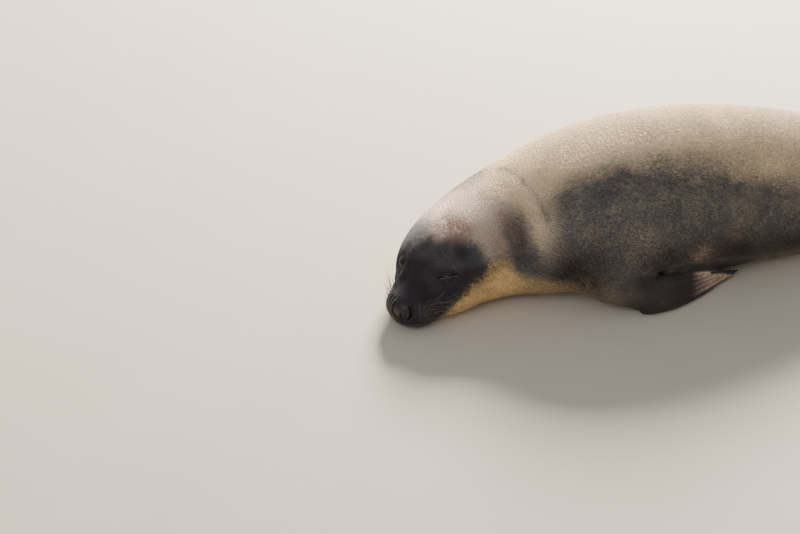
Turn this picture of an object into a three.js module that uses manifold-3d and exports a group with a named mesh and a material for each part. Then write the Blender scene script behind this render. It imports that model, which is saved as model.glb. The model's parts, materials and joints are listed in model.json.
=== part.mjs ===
// A young northern elephant seal asleep on its belly, life size, in millimetres.
// +Z is up and the floor is z = 0. The tail points along +Y and the trunk faces -Y, with the head turned
// to the animal's own left, +X. The origin is on the floor, at the middle of the belly.
import * as THREE from 'three';
import { LoftGeometry } from 'three/addons/geometries/LoftGeometry.js';
import { mergeVertices } from 'three/addons/utils/BufferGeometryUtils.js';
import Module from 'manifold-3d';

const wasm = await Module();
wasm.setup();

// Driving dimensions, measured along the spine from the tip of the nose.
const NOSE_TO_TAIL = 1840;
const BELLY_CENTRE = 930;
const SKULL_END = 131;
const SHOULDER_START = 520;
const HEAD_TURN = THREE.MathUtils.degToRad(40.5);
const HEAD_ROLL = THREE.MathUtils.degToRad(4);
const EYEBALL_RADIUS = 22;
const LID_DEPTH = 4;
const LID_SLIT = { length: 54, height: 4.5, depth: 38, turn: THREE.MathUtils.degToRad(30) };
const EYE = { along: 127, angle: 0.72 };
const CLAW = { length: 30, radius: 4.4, tipShare: 0.25, lift: 3, arch: 7, lowest: 2 };

// Neighbouring solids stay this far apart.
const GAP = 0.35;

// How finely the solids are faceted.
const AROUND_BODY = 26;
const AROUND_ARM = 12;
const AROUND_DIGIT = 7;
const AROUND_CLAW = 5;
const CLOSEST_RINGS = 3;

// The loft starts and ends on a tiny ring this far inside the tips of the nose and the tail.
const NOSE_TIP = 1.2;

// Half width, top, widest height and lowest height of the body at named places along the spine, and how many
// rings lie between each place and the next. A lowest height under the floor gives a flat, where flesh lies.
const STATIONS = [
  { place: 'tip of the nose', along: 0, half: 0, top: 62, widest: 62, low: 62, rings: 2 },
  { place: 'front of the nose', along: 5, half: 22, top: 82, widest: 58, low: 38, rings: 2 },
  { place: 'nostrils', along: 18, half: 38, top: 97, widest: 54, low: 18, rings: 3 },
  { place: 'whisker pads', along: 46, half: 58, top: 109, widest: 48, low: -2, rings: 4 },
  { place: 'back of the muzzle', along: 84, half: 69, top: 129, widest: 51, low: -8, rings: 4 },
  { place: 'eyes', along: 124, half: 94, top: 163, widest: 64, low: -10, rings: 4 },
  { place: 'brow', along: 168, half: 126, top: 199, widest: 77, low: -12, rings: 4 },
  { place: 'crown', along: 230, half: 149, top: 228, widest: 92, low: -14, rings: 4 },
  { place: 'back of the skull', along: 300, half: 171, top: 248, widest: 102, low: -16, rings: 3 },
  { place: 'nape', along: 390, half: 202, top: 281, widest: 116, low: -18, rings: 3 },
  { place: 'neck', along: 490, half: 238, top: 329, widest: 138, low: -20, rings: 3 },
  { place: 'shoulders', along: 600, half: 252, top: 371, widest: 157, low: -22, rings: 3 },
  { place: 'chest', along: 730, half: 246, top: 400, widest: 168, low: -24, rings: 3 },
  { place: 'widest girth', along: 880, half: 236, top: 408, widest: 170, low: -26, rings: 3 },
  { place: 'waist', along: 1080, half: 214, top: 379, widest: 159, low: -24, rings: 3 },
  { place: 'loins', along: 1260, half: 190, top: 332, widest: 139, low: -22, rings: 3 },
  { place: 'hips', along: 1420, half: 157, top: 273, widest: 118, low: -20, rings: 3 },
  { place: 'rump', along: 1570, half: 120, top: 214, widest: 100, low: -14, rings: 3 },
  { place: 'root of the tail', along: 1690, half: 78, top: 164, widest: 88, low: 8, rings: 2 },
  { place: 'base of the tail', along: 1750, half: 40, top: 132, widest: 84, low: 48, rings: 2 },
  { place: 'tail', along: 1805, half: 24, top: 106, widest: 82, low: 64, rings: 3 },
  { place: 'tip of the tail', along: NOSE_TO_TAIL, half: 0, top: 82, widest: 82, low: 82, rings: 0 },
];

// Under its widest height the body is fuller than an oval, as it spreads on the floor.
const BELLY_SQUARENESS = 0.86;

// Swellings and hollows on the body: a place along the spine, an angle up from the side, sizes, and a height.
const SWELLINGS = [
  { name: 'whisker pad', along: 44, angle: -0.2, long: 24, wide: 0.5, height: 5 },
  { name: 'side of the muzzle', along: 86, angle: 0.6, long: 22, wide: 0.4, height: -4 },
  { name: 'eye', along: 127, angle: 0.68, long: 24, wide: 0.3, height: 4 },
];

// The parts of the body from front to back, each with the place along the spine where it ends.
const BODY_PARTS = [
  { name: 'muzzle', end: 98, colour: 'face' },
  { name: 'head', end: 285, colour: 'face' },
  { name: 'neck', end: 500, colour: 'throat' },
  { name: 'shoulders', end: 800, colour: 'back' },
  { name: 'trunk', end: 1300, colour: 'back' },
  { name: 'hips', end: 1690, colour: 'back' },
  { name: 'tail', end: NOSE_TO_TAIL - NOSE_TIP, colour: 'back' },
];

// The mouth line and the back of the lower jaw: places along the head, with heights over the muzzle's middle.
const MUZZLE_MIDDLE = 52;
const MOUTH_LINE = [[-20, -26], [20, -26], [60, -24], [104, -14], [128, -16], [142, -34], [146, -80]];
const JAW_FLOOR = -80;
const HEAD_WIDTH = 400;

// Claws grow on the side of the fore flipper that faces up and away from the body.
const CLAW_SIDE = new THREE.Vector3(0.75, 0, 0.66);

// The left fore flipper folds back along the flank. Half is along the blade, thick is through it, and across
// points from the leading edge on the floor to the raised inner edge.
const FORE_FLIPPER = {
  stops: [
    { at: [165, -385, 150], half: 84, thick: 62, across: [-0.3, 0.4, 0.85] },
    { at: [222, -300, 92], half: 84, thick: 60, across: [-0.4, 0.2, 0.9] },
    { at: [262, -228, 56], half: 62, thick: 42, across: [-0.45, 0, 0.9] },
    { at: [266, -165, 44], half: 50, thick: 28, across: [-0.55, 0, 0.84] },
    { at: [246, -100, 37], half: 42, thick: 18, across: [-0.62, 0, 0.78] },
    { at: [222, -42, 33], half: 36, thick: 12, across: [-0.55, 0, 0.84] },
    { at: [206, -6, 29], half: 27, thick: 8, across: [-0.55, 0, 0.84] },
  ],
  knuckles: { first: [268, -120, 14], last: [228, -92, 66] },
  tips: [[174, 58, 11], [183, 46, 20], [192, 30, 29], [202, 11, 38], [213, -12, 47]],
  radius: [10.5, 10, 10, 9.5, 9.5],
  knuckleShare: 1.3,
  flatness: 0.75,
};

// The left hind flipper lies back on the floor: a long lobe at each edge and three shorter digits between.
const HIND_FLIPPER = {
  stops: [
    { at: [52, 600, 105], half: 62, thick: 56, across: [1, 0, 0] },
    { at: [72, 700, 82], half: 56, thick: 48, across: [1, 0, 0.1] },
    { at: [88, 785, 52], half: 44, thick: 32, across: [1, 0, 0.15] },
    { at: [98, 845, 36], half: 52, thick: 24, across: [1, 0, 0.1] },
    { at: [108, 905, 25], half: 64, thick: 17, across: [1, 0, 0.05] },
    { at: [118, 965, 17], half: 74, thick: 12, across: [1, 0, 0] },
    { at: [126, 1015, 12], half: 80, thick: 7, across: [1, 0, 0] },
  ],
  knuckles: { first: [72, 840, 34], last: [128, 836, 30] },
  tips: [[60, 1172, 12], [94, 1096, 9], [122, 1072, 8], [154, 1084, 9], [216, 1146, 12]],
  radius: [35, 20, 18, 20, 36],
  knuckleShare: 0.5,
  flatness: 0.36,
};

// The share of a digit's length from which its tip is rounded.
const ROUNDED_FROM = 0.86;

const v3 = ([x, y, z]) => new THREE.Vector3(x, y, z);
const clamp01 = (t) => Math.min(1, Math.max(0, t));
const ease = (t) => clamp01(t) ** 2 * (3 - 2 * clamp01(t));
const bell = (distance, size) => Math.exp(-((distance / size) ** 2));

// A smooth curve through one column of the stations.
function bodyProfile(column, along) {
  const last = STATIONS.length - 2;
  let i = 0;
  while (i < last && STATIONS[i + 1].along < along) i++;
  const slope = (k) => {
    const a = STATIONS[Math.max(k - 1, 0)];
    const b = STATIONS[Math.min(k + 1, last + 1)];
    return (b[column] - a[column]) / (b.along - a.along);
  };
  const [p, q] = [STATIONS[i], STATIONS[i + 1]];
  const gap = q.along - p.along;
  const t = clamp01((along - p.along) / gap);
  const [t2, t3] = [t * t, t * t * t];
  return p[column] * (2 * t3 - 3 * t2 + 1) + gap * slope(i) * (t3 - 2 * t2 + t)
    + q[column] * (3 * t2 - 2 * t3) + gap * slope(i + 1) * (t3 - t2);
}

// The spine seen from above: straight along the trunk, a bend in the neck, then straight to the nose.
const SPINE_STEP = 10;
const SPINE = spinePoints();

function turnAt(along) {
  return HEAD_TURN * ease((SHOULDER_START - along) / (SHOULDER_START - SKULL_END));
}

function spinePoints() {
  const points = [{ x: 0, y: NOSE_TO_TAIL - BELLY_CENTRE }];
  for (let along = NOSE_TO_TAIL; along > 0; along -= SPINE_STEP) {
    const turn = turnAt(along - SPINE_STEP / 2);
    const last = points[points.length - 1];
    points.push({ x: last.x + SPINE_STEP * Math.sin(turn), y: last.y - SPINE_STEP * Math.cos(turn) });
  }
  return points.reverse();
}

function spineAt(along) {
  const place = THREE.MathUtils.clamp(along, 0, NOSE_TO_TAIL) / SPINE_STEP;
  const i = Math.min(Math.floor(place), SPINE.length - 2);
  const x = THREE.MathUtils.lerp(SPINE[i].x, SPINE[i + 1].x, place - i);
  const y = THREE.MathUtils.lerp(SPINE[i].y, SPINE[i + 1].y, place - i);
  return { x, y, turn: turnAt(along), roll: (HEAD_ROLL * turnAt(along)) / HEAD_TURN };
}

// A point that lies a distance to the animal's left of its spine, at a height, rolled with the head.
function besideSpine(along, left, height) {
  const spine = spineAt(along);
  const centre = bodyProfile('widest', along);
  const across = left * Math.cos(spine.roll) - (height - centre) * Math.sin(spine.roll);
  const up = centre + left * Math.sin(spine.roll) + (height - centre) * Math.cos(spine.roll);
  return new THREE.Vector3(
    spine.x + across * Math.cos(spine.turn),
    spine.y + across * Math.sin(spine.turn),
    up,
  );
}

// How far the flesh stands out of the plain oval at a place. The angle is up from either side.
function swelling(along, angle) {
  return SWELLINGS.reduce(
    (sum, s) => sum + s.height * bell(along - s.along, s.long) * bell(angle - s.angle, s.wide),
    0,
  );
}

// A point of the body's surface. The angle goes round from the left side over the back.
function bodyPoint(along, angle, grow = 0) {
  const half = bodyProfile('half', along);
  const widest = bodyProfile('widest', along);
  const upper = Math.sin(angle) >= 0;
  const depth = upper ? bodyProfile('top', along) - widest : widest - bodyProfile('low', along);
  const side = Math.asin(Math.sin(angle));
  const out = grow + swelling(along, side);
  const squareness = upper ? 1 : BELLY_SQUARENESS;
  const left = (half + out) * Math.sign(Math.cos(angle)) * Math.abs(Math.cos(angle)) ** squareness;
  const up = (depth + out) * Math.sign(Math.sin(angle)) * Math.abs(Math.sin(angle)) ** squareness;
  const point = besideSpine(along, left, widest + up);
  point.z = Math.max(point.z, 0);
  return point;
}

// Where the rings of the body lie along the spine: each station says how many come before the next.
function ringPlaces() {
  const places = [];
  STATIONS.slice(0, -1).forEach((station, i) => {
    const reach = STATIONS[i + 1].along - station.along;
    for (let k = 0; k < station.rings; k++) places.push(station.along + (reach * k) / station.rings);
  });
  return places;
}
const RING_PLACES = ringPlaces();

function solidOf(geometry) {
  const bare = new THREE.BufferGeometry();
  bare.setAttribute('position', geometry.getAttribute('position'));
  bare.setIndex(geometry.getIndex());
  const merged = mergeVertices(bare, 1e-3);
  return new wasm.Manifold(new wasm.Mesh({
    numProp: 3,
    vertProperties: merged.attributes.position.array,
    triVerts: new Uint32Array(merged.index.array),
  }));
}

function geometryOf(solid) {
  const found = solid.getMesh();
  const geometry = new THREE.BufferGeometry();
  geometry.setAttribute('position', new THREE.BufferAttribute(new Float32Array(found.vertProperties), 3));
  geometry.setIndex(new THREE.BufferAttribute(new Uint32Array(found.triVerts), 1));
  return geometry;
}

// The same solid on the other side of the body.
function mirrored(solid) {
  const geometry = geometryOf(solid).scale(-1, 1, 1);
  geometry.index.array.reverse();
  return solidOf(geometry);
}

function ring(count, pointAt) {
  return Array.from({ length: count }, (_, i) => pointAt((2 * Math.PI * i) / count));
}

// The body between two places along the spine, as one solid.
function bodySolid(from, to, grow = 0) {
  const between = RING_PLACES.filter((place) => place > from + CLOSEST_RINGS && place < to - CLOSEST_RINGS);
  const sections = [from, ...between, to].map((along) => (
    ring(AROUND_BODY, (angle) => bodyPoint(along, -angle, grow))
  ));
  return solidOf(new LoftGeometry(sections, { capStart: true, capEnd: true }));
}

// A round or flat bar along a curve. frameAt gives the half sizes and the way across at each share of it.
function barSolid(path, frameAt, shares, around) {
  const sections = shares.map((share) => {
    const centre = path.getPoint(share);
    const forward = path.getTangent(share);
    const { half, thick, across } = frameAt(share);
    const side = across.clone().addScaledVector(forward, -across.dot(forward)).normalize();
    const through = new THREE.Vector3().crossVectors(forward, side);
    return ring(around, (angle) => {
      const point = centre.clone()
        .addScaledVector(side, half * Math.cos(angle))
        .addScaledVector(through, thick * Math.sin(angle));
      point.z = Math.max(point.z, 0);
      return point;
    });
  });
  return solidOf(new LoftGeometry(sections, { capStart: true, capEnd: true }));
}

// The arm or leg with its palm, along the stops of a flipper.
function palmSolid(stops) {
  const vectors = stops.map((stop) => ({ ...stop, at: v3(stop.at), across: v3(stop.across) }));
  const path = new THREE.CatmullRomCurve3(vectors.map((stop) => stop.at));
  const frameAt = (share) => {
    const place = share * (vectors.length - 1);
    const i = Math.min(Math.floor(place), vectors.length - 2);
    const t = ease(place - i);
    return {
      half: THREE.MathUtils.lerp(vectors[i].half, vectors[i + 1].half, t),
      thick: THREE.MathUtils.lerp(vectors[i].thick, vectors[i + 1].thick, t),
      across: vectors[i].across.clone().lerp(vectors[i + 1].across, t),
    };
  };
  const count = 2 * (stops.length - 1);
  const shares = Array.from({ length: count + 1 }, (_, k) => k / count);
  return barSolid(path, frameAt, shares, AROUND_ARM);
}

// One digit, from its knuckle to its rounded tip. knuckleShare is the knuckle's width over the tip's.
function digitSolid(knuckle, tip, radius, across, { knuckleShare, flatness }) {
  const path = new THREE.LineCurve3(knuckle, tip);
  const frameAt = (share) => {
    const full = radius * THREE.MathUtils.lerp(knuckleShare, 1, Math.min(share / ROUNDED_FROM, 1));
    const rounding = Math.max(0, (share - ROUNDED_FROM) / (1 - ROUNDED_FROM));
    const half = full * Math.sqrt(Math.max(1 - rounding ** 2, 0.02));
    return { half, thick: Math.max(half * flatness, 1), across };
  };
  return barSolid(path, frameAt, [0, ROUNDED_FROM / 2, ROUNDED_FROM, 0.95, 1], AROUND_DIGIT);
}

function digitPlaces(flipper) {
  const { first, last } = flipper.knuckles;
  return flipper.tips.map((tip, i) => ({
    knuckle: v3(first).lerp(v3(last), i / (flipper.tips.length - 1)),
    tip: v3(tip),
    radius: flipper.radius[i],
  }));
}

// The palm of a flipper joined with its five digits.
function flipperSolid(flipper) {
  const across = v3(flipper.stops[flipper.stops.length - 1].across);
  return digitPlaces(flipper).reduce(
    (solid, { knuckle, tip, radius }) => solid.add(digitSolid(knuckle, tip, radius, across, flipper)),
    palmSolid(flipper.stops),
  );
}

// A claw grows from the back of a fore digit's tip and curves down past it.
function clawSolid({ knuckle, tip }, grow = 0) {
  const forward = tip.clone().sub(knuckle).normalize();
  const out = CLAW_SIDE.clone().addScaledVector(forward, -CLAW_SIDE.dot(forward)).normalize();
  const reach = CLAW.length / 2 + grow;
  const root = tip.clone().addScaledVector(forward, -reach).addScaledVector(out, CLAW.lift);
  const middle = tip.clone().addScaledVector(out, CLAW.arch);
  const end = tip.clone().addScaledVector(forward, reach).addScaledVector(out, CLAW.lift);
  end.z = Math.max(end.z, CLAW.lowest);
  const path = new THREE.QuadraticBezierCurve3(root, middle, end);
  const frameAt = (share) => {
    const half = grow + CLAW.radius * (1 - (1 - CLAW.tipShare) * share ** 2);
    return { half, thick: half, across: new THREE.Vector3(0, 0, 1) };
  };
  return barSolid(path, frameAt, [0, 0.4, 0.75, 1], AROUND_CLAW);
}

// Where an eye sits: its centre and the ways out, back and up in the skin over it. side is 1 for the left.
function eyePlace(side) {
  const at = (along, angle) => bodyPoint(along, side > 0 ? angle : Math.PI - angle);
  const [step, turn] = [6, 0.06];
  const surface = at(EYE.along, EYE.angle);
  const back = at(EYE.along + step, EYE.angle).sub(at(EYE.along - step, EYE.angle)).normalize();
  const up = at(EYE.along, EYE.angle + turn).sub(at(EYE.along, EYE.angle - turn)).normalize();
  const out = new THREE.Vector3().crossVectors(back, up).multiplyScalar(side).normalize();
  up.crossVectors(out, back).multiplyScalar(side).normalize();
  const centre = surface.clone().addScaledVector(out, -(EYEBALL_RADIUS + LID_DEPTH));
  return { centre, out, back, up };
}

function eyeball(side, grow = 0) {
  const sphere = new THREE.SphereGeometry(EYEBALL_RADIUS + grow, 12, 8);
  const { centre } = eyePlace(side);
  return solidOf(sphere.translate(centre.x, centre.y, centre.z));
}

// The socket of an eye, open through the slit between the lids, whose outer corner is the lower one.
function eyeSocket(side) {
  const { centre, out, back, up } = eyePlace(side);
  const slit = new THREE.BoxGeometry(LID_SLIT.length, LID_SLIT.height, LID_SLIT.depth);
  slit.translate(0, 0, LID_SLIT.depth / 2);
  slit.rotateZ(-side * LID_SLIT.turn);
  const turned = new THREE.Matrix4().makeBasis(back, up.clone().multiplyScalar(side), out).setPosition(centre);
  return eyeball(side, GAP).add(solidOf(slit.applyMatrix4(turned)));
}

// The space under the mouth line, right across the head.
function jawSpace(grow = 0) {
  const line = MOUTH_LINE.map(([along, up]) => new THREE.Vector2(along + grow, up + grow));
  const frontOfFloor = new THREE.Vector2(MOUTH_LINE[0][0], JAW_FLOOR);
  const outline = new THREE.Shape([...line, frontOfFloor]);
  const slab = new THREE.ExtrudeGeometry(outline, { depth: HEAD_WIDTH, bevelEnabled: false });
  slab.translate(0, 0, -HEAD_WIDTH / 2);
  const nose = spineAt(0);
  const back = new THREE.Vector3(-Math.sin(nose.turn), Math.cos(nose.turn), 0);
  const left = new THREE.Vector3(Math.cos(nose.turn), Math.sin(nose.turn), Math.tan(nose.roll)).normalize();
  const up = new THREE.Vector3().crossVectors(left, back);
  const place = new THREE.Matrix4().makeBasis(back, up, left);
  place.setPosition(nose.x, nose.y, MUZZLE_MIDDLE);
  return solidOf(slab.applyMatrix4(place));
}

const seal = new THREE.Group();
const COAT = { roughness: 0.85, metalness: 0 };
const MATERIALS = {
  face: new THREE.MeshStandardMaterial({ color: 0x3d3633, ...COAT }),
  back: new THREE.MeshStandardMaterial({ color: 0x9a8a70, ...COAT }),
  throat: new THREE.MeshStandardMaterial({ color: 0xb08a4c, ...COAT }),
  flipper: new THREE.MeshStandardMaterial({ color: 0x6d5a48, ...COAT }),
  claw: new THREE.MeshStandardMaterial({ color: 0x17181c, roughness: 0.4, metalness: 0 }),
  eye: new THREE.MeshStandardMaterial({ color: 0x0a0807, roughness: 0.08, metalness: 0 }),
};

function addNode(name, solid, colour) {
  const mesh = new THREE.Mesh(geometryOf(solid), MATERIALS[colour]);
  mesh.name = name;
  seal.add(mesh);
}

// The body is parted into its named lengths by thin cuts, and the jaw along the mouth line.
const wholeBody = bodySolid(NOSE_TIP, NOSE_TO_TAIL - NOSE_TIP, GAP);
const underMouth = jawSpace(GAP);
let start = NOSE_TIP;
BODY_PARTS.forEach(({ name, end, colour }) => {
  let solid = bodySolid(start, end);
  if (name === 'muzzle' || name === 'head') solid = solid.subtract(underMouth);
  if (name === 'head') solid = solid.subtract(eyeSocket(1)).subtract(eyeSocket(-1));
  addNode(name, solid, colour);
  start = end + GAP;
});
addNode('lower_jaw', bodySolid(NOSE_TIP, BODY_PARTS[1].end).intersect(jawSpace()), 'face');
addNode('eye_left', eyeball(1), 'eye');
addNode('eye_right', eyeball(-1), 'eye');

// Each flipper is modelled on the left. The right one is its mirror image.
const foreDigits = digitPlaces(FORE_FLIPPER);
const fore = foreDigits.reduce(
  (solid, digit) => solid.subtract(clawSolid(digit, GAP)),
  flipperSolid(FORE_FLIPPER),
);
const hind = flipperSolid(HIND_FLIPPER);
const SIDES = { left: (solid) => solid, right: mirrored };
Object.entries(SIDES).forEach(([side, placed]) => {
  addNode(`fore_flipper_${side}`, placed(fore).subtract(wholeBody), 'flipper');
  addNode(`hind_flipper_${side}`, placed(hind).subtract(wholeBody), 'flipper');
  foreDigits.forEach((digit, i) => addNode(`claw_${side}_${i + 1}`, placed(clawSolid(digit)), 'claw'));
});

export default seal;
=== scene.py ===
"""The looks of a young northern elephant seal asleep on its belly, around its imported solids.

Lengths are in metres. The spine runs from the tip of the nose to the tip of the tail. A place on the body is
told by how far along the spine it is, and how far round the body: 0 on either side, a quarter turn on top.
"""
import json
import math
from types import SimpleNamespace

import bpy
import numpy as np
from mathutils import Matrix, Vector

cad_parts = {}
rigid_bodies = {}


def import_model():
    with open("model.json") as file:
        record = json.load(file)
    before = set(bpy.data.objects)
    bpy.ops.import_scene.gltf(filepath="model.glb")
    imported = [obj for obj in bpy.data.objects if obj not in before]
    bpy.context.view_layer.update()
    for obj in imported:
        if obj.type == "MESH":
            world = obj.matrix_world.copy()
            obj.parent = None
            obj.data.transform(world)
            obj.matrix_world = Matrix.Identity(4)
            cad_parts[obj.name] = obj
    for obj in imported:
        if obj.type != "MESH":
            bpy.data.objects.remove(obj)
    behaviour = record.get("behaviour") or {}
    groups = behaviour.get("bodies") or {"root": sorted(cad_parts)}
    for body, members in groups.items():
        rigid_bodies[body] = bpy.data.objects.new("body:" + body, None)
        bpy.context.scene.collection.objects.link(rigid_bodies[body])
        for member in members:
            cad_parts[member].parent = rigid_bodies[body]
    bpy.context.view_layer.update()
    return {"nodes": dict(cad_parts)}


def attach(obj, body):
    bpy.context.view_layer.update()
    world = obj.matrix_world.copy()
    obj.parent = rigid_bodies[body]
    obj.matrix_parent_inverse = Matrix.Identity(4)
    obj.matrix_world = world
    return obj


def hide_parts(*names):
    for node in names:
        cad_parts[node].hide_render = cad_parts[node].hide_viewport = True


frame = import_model()

MM = 0.001

# The spine's own dimensions, the same as the solids were built on.
NOSE_TO_TAIL = 1840 * MM
BELLY_CENTRE = 930 * MM
SKULL_END = 131 * MM
SHOULDER_START = 520 * MM
HEAD_TURN = math.radians(40.5)
HEAD_ROLL = math.radians(4)
SPINE_STEP = 5 * MM

# How high the middle of the body, and its widest line, are at a few places along the spine.
MIDDLE_ALONG = np.array([0, 50, 120, 300, 600, 880, 1400, 1840]) * MM
MIDDLE_HEIGHT = np.array([60, 50, 64, 102, 157, 170, 120, 82]) * MM
WIDEST_ALONG = np.array([0, 38, 58, 69, 94, 126, 149, 171, 202, 238]) * MM
WIDEST_HEIGHT = np.array([54, 54, 48, 51, 64, 77, 92, 102, 116, 138]) * MM

FLESH = ["muzzle", "lower_jaw", "head", "neck", "shoulders", "trunk", "hips", "tail",
         "fore_flipper_left", "fore_flipper_right", "hind_flipper_left", "hind_flipper_right"]

# The middle line of the left fore flipper's blade, and the left armpit, in mm.
FORE_BLADE = [(258, -150, 42), (240, -90, 38), (212, -10, 30), (190, 52, 20)]
FORE_ARM = [(225, -300, 70), (262, -228, 44), (264, -165, 42), (240, -90, 38), (212, -10, 30), (188, 58, 18)]
ARMPIT = (240, -182, 108)
FLIPPER_COAT = 0.8 * MM

# An eye's centre in mm, and the ways out, back and up in the skin over it.
EYE_FRAMES = {
    "left": (
        (165.0, -717.2, 124.9), (0.828, -0.166, 0.536), (-0.184, 0.822, 0.539), (-0.530, -0.545, 0.650),
    ),
    "right": (
        (73.5, -795.8, 116.3), (-0.035, -0.884, 0.466), (-0.824, 0.290, 0.488), (0.566, 0.367, 0.738),
    ),
}
SLIT_TURN = math.radians(30)
SLIT_HALF = {"left": 30 * MM, "right": 27 * MM}
EYE_OPEN = {"left": 1.0 * MM, "right": 0.9 * MM}
FOLD_STRENGTH = {"left": 1.0, "right": 0.45}
EYEBALL_RADIUS = 21.9 * MM
LID_RADIUS = 25.5 * MM
LID_FLOOR = 19.5 * MM

# How the flesh is made one skin: the size of its first faces, how far the hind flippers' webs are swollen
# for it, how far the flippers' skin may be laid back on the solids, and where the body's few faces begin.
VOXEL = 4.6 * MM
WEB_SWELL = 3.5 * MM
FIT_REACH = 9 * MM
BARELY_PLAIN = 0.16
random = np.random.default_rng(20)


def aim_camera():
    """The camera stands far off to the left of the seal's head and above it, with a long lens."""
    azimuth, elevation, distance = math.radians(75.86), math.radians(34.16), 9.0
    target = Vector((27.22, -808.45, 75.0)) * MM
    back = Vector((
        math.sin(azimuth) * math.cos(elevation),
        -math.cos(azimuth) * math.cos(elevation),
        math.sin(elevation),
    ))
    camera = bpy.data.objects.new("photo_camera", bpy.data.cameras.new("photo_camera"))
    camera.data.lens = 155.8
    camera.data.sensor_width = 36
    camera.data.clip_end = 100
    camera.location = target + back * distance
    camera.rotation_euler = back.to_track_quat("Z", "Y").to_euler()
    bpy.context.scene.collection.objects.link(camera)
    bpy.context.scene.camera = camera


def ease(t):
    t = np.clip(t, 0, 1)
    return t * t * (3 - 2 * t)


def rise(value, start, end):
    """0 before start and 1 past end, with a soft step between; end may be the smaller."""
    return ease((value - start) / (end - start))


def bell(distance, size):
    return np.exp(-(distance / size) ** 2)


def spine_points():
    """The spine seen from above: distances along it from the nose, places, and its turn there."""
    along = np.arange(0, NOSE_TO_TAIL + SPINE_STEP / 2, SPINE_STEP)
    middle = along[:-1] + SPINE_STEP / 2
    turn_of = lambda s: HEAD_TURN * ease((SHOULDER_START - s) / (SHOULDER_START - SKULL_END))
    steps = np.stack([-np.sin(turn_of(middle)), np.cos(turn_of(middle))], -1) * SPINE_STEP
    places = np.concatenate([[[0, 0]], np.cumsum(steps, axis=0)])
    places += np.array([0, NOSE_TO_TAIL - BELLY_CENTRE]) - places[-1]
    return along, places, turn_of(along)


SPINE_ALONG, SPINE_PLACES, SPINE_TURNS = spine_points()
NOSE_PLACE = np.array([*SPINE_PLACES[0], 0])
HEAD_BACK = np.array([-math.sin(HEAD_TURN), math.cos(HEAD_TURN), 0])
HEAD_LEFT = np.array([math.cos(HEAD_TURN), math.sin(HEAD_TURN), 0])


def body_places(points):
    """How far each point is along the spine, to its left and round the body, and the spine's turn there."""
    best = np.zeros(len(points), int)
    for start in range(0, len(points), 20000):
        block = points[start:start + 20000, None, :2] - SPINE_PLACES[None]
        best[start:start + 20000] = np.argmin((block ** 2).sum(-1), axis=1)
    turn = SPINE_TURNS[best]
    offset = points[:, :2] - SPINE_PLACES[best]
    back = np.stack([-np.sin(turn), np.cos(turn)], -1)
    left = np.stack([np.cos(turn), np.sin(turn)], -1)
    along = SPINE_ALONG[best] + (offset * back).sum(-1)
    sideways = (offset * left).sum(-1)
    around = np.arctan2(points[:, 2] - np.interp(along, MIDDLE_ALONG, MIDDLE_HEIGHT), np.abs(sideways))
    return along, sideways, around, turn


def face_places(points):
    """How far each point is back from the nose, left of the head's middle and up, its roll undone."""
    offset = points - NOSE_PLACE
    back, left, up = offset @ HEAD_BACK, offset @ HEAD_LEFT, points[:, 2]
    centre = np.interp(back, WIDEST_ALONG, WIDEST_HEIGHT)
    roll = HEAD_ROLL * ease((SHOULDER_START - back) / (SHOULDER_START - SKULL_END))
    straight_left = left * np.cos(roll) + (up - centre) * np.sin(roll)
    straight_up = centre + (up - centre) * np.cos(roll) - left * np.sin(roll)
    return back, straight_left, straight_up


def head_place(back, left, up):
    """A place in mm in the head's own frame, as a point of the model in mm."""
    centre = float(np.interp(back * MM, WIDEST_ALONG, WIDEST_HEIGHT)) / MM
    roll = HEAD_ROLL * float(ease((SHOULDER_START - back * MM) / (SHOULDER_START - SKULL_END)))
    across = left * math.cos(roll) - (up - centre) * math.sin(roll)
    height = centre + (up - centre) * math.cos(roll) + left * math.sin(roll)
    return NOSE_PLACE / MM + HEAD_BACK * back + HEAD_LEFT * across + np.array([0, 0, height])


def eye_places(points, side):
    """Points in an eye's frame: along the slit to the outer corner, up across it, out, and the distance."""
    centre, out, back, up = (np.array(value) for value in EYE_FRAMES[side])
    offset = points - centre * MM
    slit = math.cos(SLIT_TURN) * back - math.sin(SLIT_TURN) * up
    across = math.sin(SLIT_TURN) * back + math.cos(SLIT_TURN) * up
    return offset @ slit, offset @ across, offset @ out, np.linalg.norm(offset, axis=1)


def near_path(points, path):
    """How far each point is from a line given in mm, and how far along the line it is, from 0 to 1."""
    path = np.asarray(path, float) * MM
    lengths = np.linalg.norm(np.diff(path, axis=0), axis=1)
    reach = np.concatenate([[0], np.cumsum(lengths)])
    distance = np.full(len(points), np.inf)
    share = np.zeros(len(points))
    for start, end, first, length in zip(path[:-1], path[1:], reach, lengths):
        way = (end - start) / length
        along = np.clip((points - start) @ way, 0, length)
        apart = np.linalg.norm(points - start - along[:, None] * way, axis=1)
        nearer = apart < distance
        distance[nearer] = apart[nearer]
        share[nearer] = (first + along[nearer]) / reach[-1]
    return distance, share


def plateau(distance, size):
    """1 near the middle, with steeper sides than a bell's."""
    return np.exp(-(distance / size) ** 4)


def folded(points):
    """Points with those of the right half moved to their mirror places on the left."""
    return np.abs(points) * np.array([1, 0, 1]) + points * np.array([0, 1, 0])


def mottle(points, size, seed):
    """Smooth noise from 0 to 1, in blotches of about a size."""
    place = points / size + seed * 17.3
    cell = np.floor(place).astype(np.int64)
    part = ease(place - cell)
    total = np.zeros(len(points))
    for corner in range(8):
        step = np.array([corner & 1, corner >> 1 & 1, corner >> 2 & 1])
        weight = np.prod(np.where(step, part, 1 - part), axis=1)
        x, y, z = (cell + step).T
        mixed = x * 374761393 + y * 668265263 + z * 2147483647 + seed * 974634777
        mixed = (mixed ^ (mixed >> 13)) * 1274126177
        total += weight * ((mixed ^ (mixed >> 16)) & 65535) / 65535
    return total


# Work on meshes.

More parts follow.
